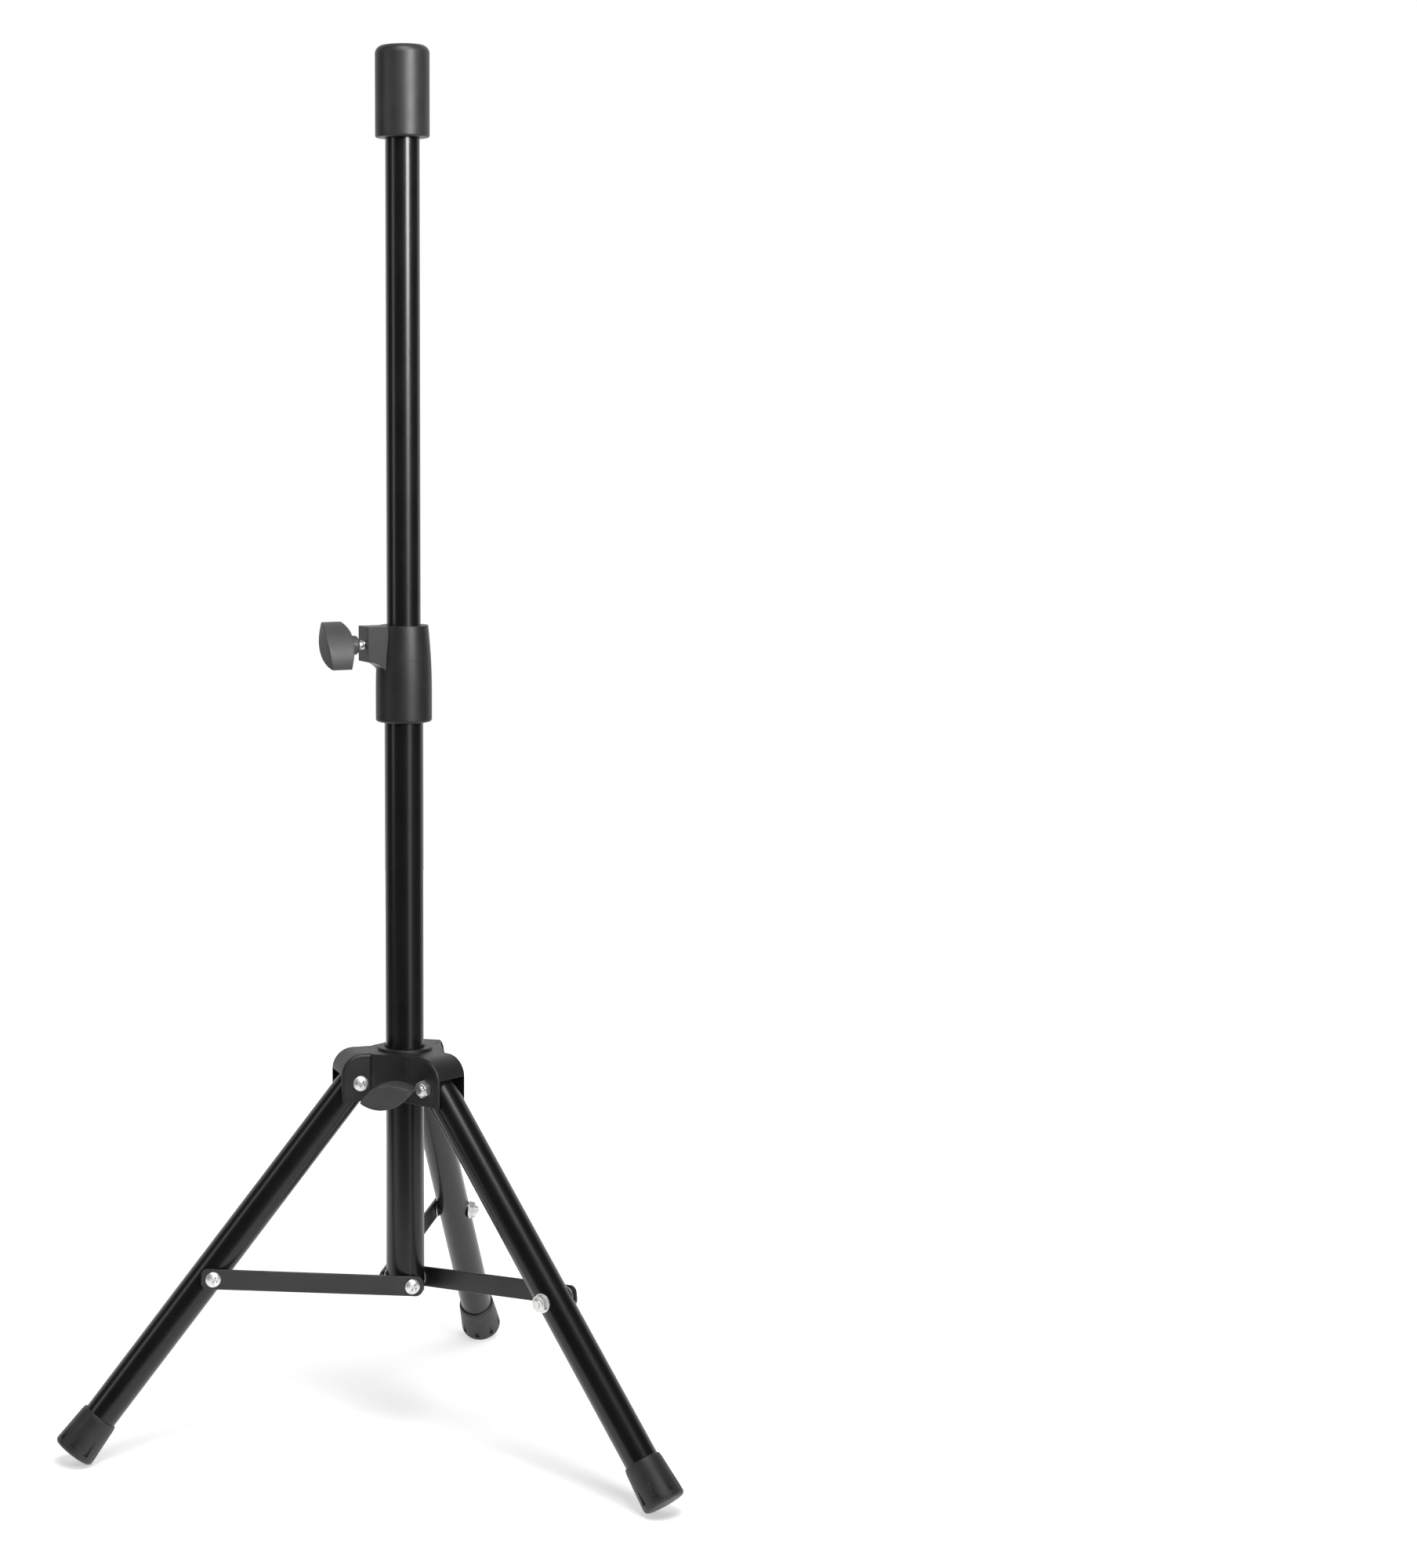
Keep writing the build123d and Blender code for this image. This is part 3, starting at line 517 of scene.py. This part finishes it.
def smooth_pulse(tree, value, low, high):
    """0 below low, 1 above high, with a soft step between."""
    return add_node(
        tree, "ShaderNodeMapRange", {"interpolation_type": "SMOOTHSTEP"}, Value=value,
        From_Min=low, From_Max=high,
    ).outputs[0]


def foot_tree(material, sizes):
    """Rubber foot: Z 0 at its sole, a tapered boot with pointed flutes that stop above the
    sole, a rolled upper lip and a bore for the leg tube."""
    tree, entry = new_tree("fluted_foot", {
        "Length": 30.0 * MM, "Top radius": 12.5 * MM, "Sole radius": 14.5 * MM,
        "Edge radius": 3.0 * MM, "Bore radius": 11.1 * MM, "Sole thickness": 5.0 * MM,
        "Flutes": sizes.flutes, "Flute depth": sizes.flute_depth,
        "Flute half width": sizes.flute_width / 2, "Flute top": sizes.flute_top,
        "Flute end": sizes.flute_end, "Lip height": sizes.lip_height,
    })
    length, edge = entry["Length"], entry["Edge radius"]
    skin = add_node(
        tree, "GeometryNodeMeshCylinder", Vertices=256, Side_Segments=110, Radius=1.0, Depth=length
    )
    position = add_node(
        tree, "ShaderNodeSeparateXYZ", Vector=add_node(tree, "GeometryNodeInputPosition").outputs[0]
    )
    x, y = position.outputs[0], position.outputs[1]
    height = maths(tree, "ADD", position.outputs[2], maths(tree, "DIVIDE", length, 2.0))
    share = maths(tree, "DIVIDE", height, length)
    drop = maths(tree, "SUBTRACT", entry["Sole radius"], entry["Top radius"])
    radius = maths(tree, "SUBTRACT", entry["Sole radius"], maths(tree, "MULTIPLY", drop, share))
    # Round the sole's edge: a quarter circle over the last stretch.
    into = maths(tree, "MAXIMUM", maths(tree, "SUBTRACT", edge, height), 0.0)
    square = maths(
        tree, "SUBTRACT", maths(tree, "MULTIPLY", edge, edge), maths(tree, "MULTIPLY", into, into)
    )
    inset = maths(tree, "SQRT", maths(tree, "MAXIMUM", square, 0.0))
    rounding = maths(tree, "SUBTRACT", edge, inset)
    radius = maths(tree, "SUBTRACT", radius, rounding)
    # Flutes: pointed at the top, wide and deep at their lower end above the sole's rim.
    turns = maths(tree, "MULTIPLY", maths(tree, "ARCTAN2", y, x), entry["Flutes"])
    folded = maths(tree, "ARCCOSINE", maths(tree, "COSINE", turns))
    aside = maths(tree, "MULTIPLY", maths(tree, "DIVIDE", folded, entry["Flutes"]), radius)
    run = maths(tree, "SUBTRACT", entry["Flute top"], entry["Flute end"])
    widening = maths(tree, "DIVIDE", maths(tree, "SUBTRACT", entry["Flute top"], height), run)
    half = maths(tree, "MULTIPLY", widening, entry["Flute half width"])
    groove = smooth_pulse(tree, maths(tree, "SUBTRACT", half, aside), 0.0, FLUTE_EDGE)
    climbed = maths(tree, "SUBTRACT", height, entry["Flute end"])
    above_end = smooth_pulse(tree, climbed, 0.0, FLUTE_EDGE)
    depth = maths(tree, "MULTIPLY", entry["Flute depth"], maths(tree, "MULTIPLY", groove, above_end))
    depth = maths(tree, "MULTIPLY", depth, maths(tree, "MAXIMUM", widening, 0.0))
    radius = maths(tree, "SUBTRACT", radius, depth)
    # Rolled lip round the top, set off by a shallow neck.
    below_top = maths(tree, "DIVIDE", maths(tree, "SUBTRACT", length, height), entry["Lip height"])
    lip = maths(tree, "SUBTRACT", below_top, 1.0)
    fall = maths(tree, "MULTIPLY", maths(tree, "MULTIPLY", lip, lip), -NECK_SHARPNESS)
    neck = maths(tree, "POWER", math.e, fall)
    radius = maths(tree, "SUBTRACT", radius, maths(tree, "MULTIPLY", neck, sizes.neck_depth))
    crown = maths(tree, "MAXIMUM", maths(tree, "SUBTRACT", 1.0, below_top), 0.0)
    roll = maths(tree, "MULTIPLY", maths(tree, "MULTIPLY", crown, crown), LIP_ROLL)
    radius = maths(tree, "SUBTRACT", radius, roll)
    shaped = add_node(
        tree, "GeometryNodeSetPosition", Geometry=skin.outputs[0],
        Position=add_node(
            tree, "ShaderNodeCombineXYZ", X=maths(tree, "MULTIPLY", x, radius),
            Y=maths(tree, "MULTIPLY", y, radius), Z=height,
        ).outputs[0],
    )
    bore = cylinder(tree, entry["Bore radius"], length, entry["Sole thickness"], 64)
    hollow = cut(tree, shaped.outputs[0], bore)
    finish_tree(tree, entry["Places"], hollow, material)
    return tree


def grow(name, tree, places, sizes, body, nodes, sharp_degrees=35.0):
    """Runs a tree at its places, keeps the result as a plain mesh and rides it on a body.
    places is a list of (point, facing); nodes are the CAD nodes that it stands for."""
    points = bpy.data.meshes.new(name + "_places")
    points.from_pydata([point for point, _ in places], [], [])
    facing = points.attributes.new("facing", "FLOAT_VECTOR", "POINT")
    for item, (_, direction) in zip(facing.data, places):
        item.vector = direction
    piece = bpy.data.objects.new(name, points)
    bpy.context.scene.collection.objects.link(piece)
    modifier = piece.modifiers.new(tree.name, "NODES")
    modifier.node_group = tree
    for socket in tree.interface.items_tree:
        if socket.in_out == "INPUT" and socket.name in sizes:
            modifier[socket.identifier] = sizes[socket.name]
    evaluated = piece.evaluated_get(bpy.context.evaluated_depsgraph_get())
    mesh = bpy.data.meshes.new_from_object(evaluated)
    piece.modifiers.remove(modifier)
    piece.data = mesh
    bpy.data.meshes.remove(points)
    mesh.name = name
    if not mesh.polygons:
        raise RuntimeError(f"{name} came out empty")
    for polygon in mesh.polygons:
        polygon.use_smooth = True
    mesh.set_sharp_from_angle(angle=math.radians(sharp_degrees))
    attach(piece, body)
    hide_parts(*nodes)
    return piece


# ---- Settings ----
class TripodFinishSettings(PropertyGroup):
    """Colours of the enamel and the mouldings."""

    tube_dark: colour_property("Tube", "Enamel on the mast and legs, in its darker patches", "0b0b0c")
    tube_light: colour_property("Tube light", "The same enamel in its lighter patches", "101011")
    strip_dark: colour_property("Strut", "Enamel on the flat struts, darker patches", "1c1c1d")
    strip_light: colour_property("Strut light", "The same, lighter patches", "242425")
    hub_dark: colour_property("Moulding", "Nylon of the hub and the clamp collar", "121213")
    hub_light: colour_property("Moulding light", "The same, lighter patches", "181819")
    knob_dark: colour_property("Knob", "Nylon of the two knobs", "333334")
    knob_light: colour_property("Knob light", "The same, lighter patches", "3b3b3c")
    sleeve_dark: colour_property("Sleeve", "Smooth plastic of the pole adapter", "1f1f20")
    sleeve_light: colour_property("Sleeve light", "The same, lighter patches", "252526")


class TripodFastenerSettings(PropertyGroup):
    """Screw threads and the screws' cross recess."""

    thread_pitch: length_property("Thread pitch", "From one thread to the next", 1.0)
    recess_length: length_property("Recess length", "Across the cross recess", 5.2)
    recess_width: length_property("Recess width", "Width of one arm of the recess", 1.2)
    recess_depth: length_property("Recess depth", "Depth of the recess", 1.5)


class TripodFootSettings(PropertyGroup):
    """The rubber feet's flutes and lip."""

    flutes: IntProperty(name="Flutes", description="Flutes round a foot", default=8, min=3, max=16)
    flute_depth: length_property("Flute depth", "How deep the flutes are at their end", 1.4)
    flute_width: length_property("Flute width", "How wide they are at their end", 3.4)
    flute_top: length_property("Flute top", "Their points, above the sole", 17.5)
    flute_end: length_property("Flute end", "Their lower ends, above the sole", 4.6)
    lip_height: length_property("Lip", "Height of the rolled lip at the top", 1.4)
    neck_depth: length_property("Neck", "Depth of the line under the lip", 0.18)


class TripodStageSettings(PropertyGroup):
    """Floor, lights and camera."""

    camera_distance: length_property("Distance", "Camera from the mast's axis, level", 2034.6)
    camera_height: length_property("Height", "Camera above the floor", 695.1)
    camera_side: FloatProperty(
        name="Side", description="Camera's place round the stand", default=math.radians(13.53),
        subtype="ANGLE",
    )
    camera_tip: FloatProperty(
        name="Tip", description="Camera's tilt down", default=math.radians(7.13), subtype="ANGLE"
    )
    camera_roll: FloatProperty(
        name="Roll", description="Camera's roll", default=math.radians(-0.15), subtype="ANGLE"
    )
    lens: FloatProperty(name="Lens", description="Focal length in mm", default=71.77, min=10.0)
    camera_shift: FloatProperty(
        name="Shift", description="Sideways shift of the picture, as a share of its width",
        default=0.1942,
    )
    floor_colour: colour_property("Floor", "The lit table under the stand", "f6f6f6")
    floor_glow: FloatProperty(
        name="Floor glow", description="Light from the table itself, near the stand",
        default=0.42, min=0.0, max=1.0,
    )
    key_angle: FloatProperty(
        name="Key angle", description="Key light, round from the camera to the right",
        default=math.radians(33), subtype="ANGLE",
    )
    key_power: FloatProperty(
        name="Key power", description="Power of the key soft box, in watts", default=4.4, min=0.0
    )
    reflector_power: FloatProperty(
        name="Reflector power", description="Power of the white board under the key, in watts",
        default=2.6, min=0.0,
    )
    fill_angle: FloatProperty(
        name="Fill angle", description="Fill light, round from the camera to the left",
        default=math.radians(66), subtype="ANGLE",
    )
    fill_power: FloatProperty(
        name="Fill power", description="Power of the fill soft box, in watts", default=4.5, min=0.0
    )
    overhead_angle: FloatProperty(
        name="Overhead angle", description="Overhead light, round from the camera to the right",
        default=math.radians(11.5), subtype="ANGLE",
    )
    overhead_rise: FloatProperty(
        name="Overhead rise", description="Overhead light, up from level", default=math.radians(62),
        subtype="ANGLE",
    )
    overhead_power: FloatProperty(
        name="Overhead power", description="Power of the overhead soft box, which casts the "
        "shadows on the table, in watts", default=28.0, min=0.0,
    )
    room_dark: FloatProperty(
        name="Room", description="Brightness of the room on the camera's side", default=0.05,
        min=0.0,
    )


# ---- Pieces ----
def stack(node, up):
    """A node's axis read from its mesh: (point at its foot, length along up, radius)."""
    across = up.orthogonal().normalized()
    third = up.cross(across)
    places, half = Vector(), []
    for direction in (across, third):
        low, high = reach(node, Vector(), direction)
        places += direction * (low + high) / 2
        half.append((high - low) / 2)
    low, high = reach(node, Vector(), up)
    return places + up * low, high - low, max(half)


def body_of(node):
    return frame["nodes"][node]["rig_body"]


def hinge_axis(number):
    """Unit vector along a leg's pivot, out of the side where the screw heads are."""
    return Vector(JOINTS[f"leg_fold_{number}"]["axis"]).normalized()


def bar_axis(number):
    """Unit vector out of the strut's face. The bar leans, so it isn't quite the pivot's."""
    across = hinge_axis(number)
    inner, rise, _ = stack(f"strut_screw_washer_{number}", across)
    outer, _, _ = stack(f"strut_bolt_washer_{number}", across)
    along = (outer - inner).normalized()
    return (across - along * along.dot(across)).normalized()


def leg_axis(number):
    """Unit vector up along a leg."""
    head, _, _ = stack(f"hub_bolt_{number}", hinge_axis(number))
    bolt, _, _ = stack(f"strut_bolt_shank_{number}", hinge_axis(number))
    across = hinge_axis(number)
    line = head - bolt
    return (line - across * across.dot(line)).normalized()


class TripodOperator(Operator):
    """Shared options of the stand's operators."""

    bl_options = {"REGISTER", "UNDO"}


class TRIPOD_OT_tubes(TripodOperator):
    """Enamels the mast, the legs and the flat struts"""

    bl_idname = "tripod.tubes"
    bl_label = "Enamel Tubes and Struts"

    def execute(self, context):
        finish = context.scene.tripod_finish
        tube = enamelled_steel(
            "Enamelled steel tube", finish.tube_dark, finish.tube_light, roughness=0.27, coat=0.06
        )
        strip = enamelled_steel(
            "Enamelled steel strip", finish.strip_dark, finish.strip_light, roughness=0.42,
            coat=0.15,
        )
        for node in ("lower_tube", "upper_tube"):
            give(node, tube)
        for number in LEG_NUMBERS:
            give(f"leg_tube_{number}", tube)
            give(f"strut_{number}", strip)
        return {"FINISHED"}


class TRIPOD_OT_mouldings(TripodOperator):
    """Gives the hub, the clamp collar, the sleeve and the plugs their plastics"""

    bl_idname = "tripod.mouldings"
    bl_label = "Finish Mouldings"

    def execute(self, context):
        finish = context.scene.tripod_finish
        nylon = moulded_plastic(
            "Moulded nylon", finish.hub_dark, finish.hub_light, roughness=0.46, grain_mm=0.9,
            depth_mm=0.012, rounding_mm=0.5,
        )
        smooth = moulded_plastic(
            "Polypropylene sleeve", finish.sleeve_dark, finish.sleeve_light, roughness=0.46,
            grain_mm=0.6, depth_mm=0.008, rounding_mm=0.3,
        )
        for node in ("hub", "clamp_collar"):
            give(node, nylon)
        for node in ("pole_adapter", "lower_tube_end_plug", "upper_tube_guide", "clamp_pad", "hub_pad"):
            give(node, smooth)
        return {"FINISHED"}


class TRIPOD_OT_knobs(TripodOperator):
    """Gives the two wing knobs their lighter, textured nylon"""

    bl_idname = "tripod.knobs"
    bl_label = "Finish Knobs"

    def execute(self, context):
        finish = context.scene.tripod_finish
        nylon = moulded_plastic(
            "Textured knob nylon", finish.knob_dark, finish.knob_light, roughness=0.5,
            grain_mm=0.8, depth_mm=0.02, rounding_mm=0.6,
        )
        for node in ("clamp_knob", "hub_knob"):
            give(node, nylon)
        return {"FINISHED"}


class TRIPOD_OT_feet(TripodOperator):
    """Grows the fluted rubber feet"""

    bl_idname = "tripod.feet"
    bl_label = "Grow Feet"

    def execute(self, context):
        tree = foot_tree(moulded_rubber("Moulded rubber"), context.scene.tripod_feet)
        for number in LEG_NUMBERS:
            node = f"leg_foot_{number}"
            up = leg_axis(number)
            sole, length, radius = stack(node, up)
            tube_radius = stack(f"leg_tube_{number}", up)[2]
            thick = stack(f"leg_tube_{number}", up)[0].dot(up) - sole.dot(up)
            grow(
                f"rubber_foot_{number}", tree, [(sole, up)],
                {"Length": length, "Sole radius": radius, "Bore radius": tube_radius + 0.03 * MM,
                 "Sole thickness": thick},
                body_of(node), [node], FOOT_SHARP_DEGREES,
            )
        return {"FINISHED"}


class TRIPOD_OT_screws(TripodOperator):
    """Grows the pan-head screws and bolts"""

    bl_idname = "tripod.screws"
    bl_label = "Grow Screws"

    def execute(self, context):
        tree = screw_tree(zinc_plated_steel("Zinc-plated steel"), context.scene.tripod_fasteners)
        for number in LEG_NUMBERS:
            across = hinge_axis(number)
            for kind, up, threaded in (
                ("hub_bolt", across, 0.3), ("strut_screw", across, 0.6),
                ("strut_bolt_head", bar_axis(number), 0.0),
            ):
                node = f"{kind}_{number}"
                foot, length, radius = stack(node, up)
                shank = length - HEAD_HEIGHT
                grow(
                    f"pan_head_{kind}_{number}", tree, [(foot + up * shank, up)],
                    {"Head radius": radius, "Head height": HEAD_HEIGHT,
                     "Shank length": shank, "Thread length": max(shank * threaded, 0.5 * MM)},
                    body_of(node), [node],
                )
        return {"FINISHED"}


class TRIPOD_OT_nuts(TripodOperator):
    """Grows the lock nuts"""

    bl_idname = "tripod.nuts"
    bl_label = "Grow Lock Nuts"

    def execute(self, context):
        tree = nut_tree(zinc_plated_steel("Zinc-plated steel"))
        for number in LEG_NUMBERS:
            down = -hinge_axis(number)
            for kind in ("hub_nut", "strut_nut"):
                node = f"{kind}_{number}"
                foot, length, radius = stack(node, down)
                grow(
                    f"lock_{kind}_{number}", tree, [(foot, down)],
                    {"Hexagon height": length - NUT_COLLAR_HEIGHT,
                     "Collar height": NUT_COLLAR_HEIGHT},
                    body_of(node), [node],
                )
        for clamp in ("clamp", "hub"):
            give(f"{clamp}_insert_nut", zinc_plated_steel("Zinc-plated steel"))
        return {"FINISHED"}


class TRIPOD_OT_washers(TripodOperator):
    """Grows the flat washers"""

    bl_idname = "tripod.washers"
    bl_label = "Grow Washers"

    def execute(self, context):
        tree = washer_tree(zinc_plated_steel("Zinc-plated steel"))
        for number in LEG_NUMBERS:
            up = hinge_axis(number)
            groups = {}
            for kind in ("strut_screw_washer", "strut_bolt_washer", "strut_nut_washer"):
                node = f"{kind}_{number}"
                groups.setdefault(body_of(node), []).append((node, stack(node, up)))
            for body, members in groups.items():
                places = [(foot, up) for _, (foot, _, _) in members]
                _, thickness, radius = members[0][1]
                grow(
                    f"washers_{body}_{number}", tree, places,
                    {"Outer radius": radius, "Thickness": thickness}, body,
                    [node for node, _ in members],
                )
        return {"FINISHED"}


class TRIPOD_OT_rods(TripodOperator):
    """Grows the threaded rods: the strut bolts' shanks and the two clamp screws"""

    bl_idname = "tripod.rods"
    bl_label = "Grow Threaded Rods"

    def execute(self, context):
        tree = rod_tree(zinc_plated_steel("Zinc-plated steel"), context.scene.tripod_fasteners)
        rods = [(f"strut_bolt_shank_{number}", -hinge_axis(number)) for number in LEG_NUMBERS]
        rods += [
            ("clamp_screw", -Vector(JOINTS["clamp_knob_turn"]["axis"]).normalized()),
            ("hub_screw", -Vector(JOINTS["hub_knob_turn"]["axis"]).normalized()),
        ]
        for node, up in rods:
            foot, length, radius = stack(node, up)
            grow(
                f"threaded_{node}", tree, [(foot, up)], {"Radius": radius, "Length": length},
                body_of(node), [node],
            )
        return {"FINISHED"}


class TRIPOD_OT_stage(TripodOperator):
    """Sets the floor, the soft lights, the surround and the camera"""

    bl_idname = "tripod.stage"
    bl_label = "Set Stage"

    def execute(self, context):
        settings = context.scene.tripod_stage
        self.floor(settings)
        low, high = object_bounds()
        middle = (Vector(low) + Vector(high)) / 2
        key = self.round_from_camera(settings, settings.key_angle)
        fill = self.round_from_camera(settings, -settings.fill_angle)
        up = Vector((0, 0, 1))
        board = middle + key * KEY_AWAY
        hub_point = up * JOINTS["leg_fold_1"]["pos_m"][2]
        level = self.round_from_camera(settings, settings.overhead_angle)
        overhead = level * math.cos(settings.overhead_rise) + up * math.sin(settings.overhead_rise)
        self.soft_box("key", board + up * KEY_RISE, KEY_AIM, KEY_SIZE, settings.key_power, KEY_BEAM)
        self.soft_box(
            "reflector", board - up * REFLECTOR_DROP, middle, KEY_SIZE, settings.reflector_power
        )
        self.soft_box(
            "fill", middle + fill * FILL_AWAY + up * FILL_RISE, middle, FILL_SIZE,
            settings.fill_power,
        )
        self.soft_box(
            "overhead", hub_point + overhead * OVERHEAD_AWAY, hub_point, OVERHEAD_SIZE,
            settings.overhead_power,
        )
        self.surround(context.scene, settings)
        self.camera(context.scene, settings)
        return {"FINISHED"}

    def round_from_camera(self, settings, angle):
        """Level direction from the stand, turned from the camera's, to its right when positive."""
        turn = settings.camera_side + angle
        return Vector((math.sin(turn), -math.cos(turn), 0))

    def floor(self, settings):
        """A white table whose emission is a painted glow, standing in for light from below: a little
        glow under the stand, so that its shadows show, and full glow further out, where it runs into
        the white surround. It ends just out of view in front, so that the tubes reflect the dark room
        there."""
        ahead = self.round_from_camera(settings, 0.0)
        aside = ahead.cross(Vector((0, 0, 1)))
        front = ahead * FLOOR_FRONT
        back = ahead * -FLOOR_BACK
        half = aside * FLOOR_HALF_WIDTH
        corners = [front + half, back + half, back - half, front - half]
        mesh = bpy.data.meshes.new("studio_floor")
        mesh.from_pydata(corners, [], [(0, 1, 2, 3)])
        floor = bpy.data.objects.new("studio_floor", mesh)
        bpy.context.scene.collection.objects.link(floor)
        material, tree, shader = new_material("Studio floor")
        shader.inputs["Base Color"].default_value = tuple(settings.floor_colour)
        shader.inputs["Roughness"].default_value = 0.8
        shader.inputs["Emission Color"].default_value = (1.0, 1.0, 1.0, 1.0)
        distance = add_node(
            tree, "ShaderNodeVectorMath", {"operation": "LENGTH"}, Vector=object_coords(tree)
        ).outputs["Value"]
        # Painted glow: the table's emission, weaker near the stand so that the shadows show.
        glow = add_node(
            tree, "ShaderNodeMapRange", {"interpolation_type": "SMOOTHSTEP"}, Value=distance,
            From_Min=GLOW_START, From_Max=GLOW_FULL, To_Min=settings.floor_glow, To_Max=1.0,
        ).outputs[0]
        tree.links.new(glow, shader.inputs["Emission Strength"])
        mesh.materials.append(material)
        floor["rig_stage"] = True

    def soft_box(self, name, place, target, size, power, spread_angle=math.pi):
        light = bpy.data.lights.new(name, "AREA")
        light.shape = "RECTANGLE"
        light.size, light.size_y = size
        light.energy = power
        light.spread = spread_angle
        lamp = bpy.data.objects.new(name, light)
        aim = (target - place).to_track_quat("-Z", "Y").to_matrix().to_4x4()
        lamp.matrix_world = Matrix.Translation(place) @ aim
        bpy.context.scene.collection.objects.link(lamp)

    def surround(self, scene, settings):
        """White to look at, and a white paper behind the stand with a dark room round the rest."""
        world = bpy.data.worlds.new("white_surround")
        world.use_nodes = True
        tree = world.node_tree
        ahead = self.round_from_camera(settings, 0.0)
        direction = add_node(tree, "ShaderNodeTexCoord").outputs["Generated"]
        facing = add_node(tree, "ShaderNodeVectorMath", {"operation": "DOT_PRODUCT"}, Vector=direction)
        facing.inputs[1].default_value = ahead
        paper = add_node(
            tree, "ShaderNodeMapRange", {"interpolation_type": "SMOOTHSTEP"},
            Value=facing.outputs["Value"], From_Min=PAPER_FULL, From_Max=PAPER_END, To_Min=1.0,
            To_Max=settings.room_dark,
        ).outputs[0]
        seen = add_node(tree, "ShaderNodeLightPath").outputs["Is Camera Ray"]
        strength = add_node(tree, "ShaderNodeMath", {"operation": "MAXIMUM"})
        tree.links.new(paper, strength.inputs[0])
        tree.links.new(seen, strength.inputs[1])
        background = tree.nodes["Background"]
        background.inputs["Color"].default_value = (1.0, 1.0, 1.0, 1.0)
        tree.links.new(strength.outputs[0], background.inputs["Strength"])
        scene.world = world
        scene.view_settings.view_transform = "Standard"

    def camera(self, scene, settings):
        camera = bpy.data.cameras.new("camera")
        camera.sensor_width = 36.0
        camera.lens = settings.lens
        camera.shift_x = settings.camera_shift
        camera.clip_end = 50.0
        holder = bpy.data.objects.new("camera", camera)
        side = settings.camera_side
        place = Vector((math.sin(side), -math.cos(side), 0)) * settings.camera_distance
        place.z = settings.camera_height
        holder.matrix_world = (
            Matrix.Translation(place)
            @ Matrix.Rotation(side, 4, "Z")
            @ Matrix.Rotation(math.pi / 2 - settings.camera_tip, 4, "X")
            @ Matrix.Rotation(settings.camera_roll, 4, "Z")
        )
        scene.collection.objects.link(holder)
        scene.camera = holder


# ---- Sidebar and registration ----
STEPS = (
    TRIPOD_OT_stage, TRIPOD_OT_tubes, TRIPOD_OT_mouldings, TRIPOD_OT_knobs, TRIPOD_OT_feet,
    TRIPOD_OT_screws, TRIPOD_OT_nuts, TRIPOD_OT_washers, TRIPOD_OT_rods,
)
SETTINGS = {
    "tripod_finish": TripodFinishSettings,
    "tripod_fasteners": TripodFastenerSettings,
    "tripod_feet": TripodFootSettings,
    "tripod_stage": TripodStageSettings,
}


class TRIPOD_PT_sidebar(Panel):
    """The stand's settings and the steps that build it"""

    bl_idname = "TRIPOD_PT_sidebar"
    bl_label = "Speaker Tripod Stand"
    bl_space_type = "VIEW_3D"
    bl_region_type = "UI"
    bl_category = "Tripod Stand"

    def draw(self, context):
        for group in SETTINGS:
            box = self.layout.box()
            box.label(text=group.replace("_", " ").capitalize())
            settings = getattr(context.scene, group)
            for name in settings.bl_rna.properties.keys():
                if name not in {"rna_type", "name"}:
                    box.prop(settings, name)
        for step in STEPS:
            self.layout.operator(step.bl_idname)


def register():
    for group in SETTINGS.values():
        bpy.utils.register_class(group)
    for step in (*STEPS, TRIPOD_PT_sidebar):
        bpy.utils.register_class(step)
    for name, group in SETTINGS.items():
        setattr(bpy.types.Scene, name, PointerProperty(type=group))


def unregister():
    for name in SETTINGS:
        delattr(bpy.types.Scene, name)
    for step in (TRIPOD_PT_sidebar, *reversed(STEPS)):
        bpy.utils.unregister_class(step)
    for group in reversed(SETTINGS.values()):
        bpy.utils.unregister_class(group)


def main():
    register()
    for step in STEPS:
        group, operator = step.bl_idname.split(".")
        getattr(getattr(bpy.ops, group), operator)()


if __name__ == "__main__":
    main()
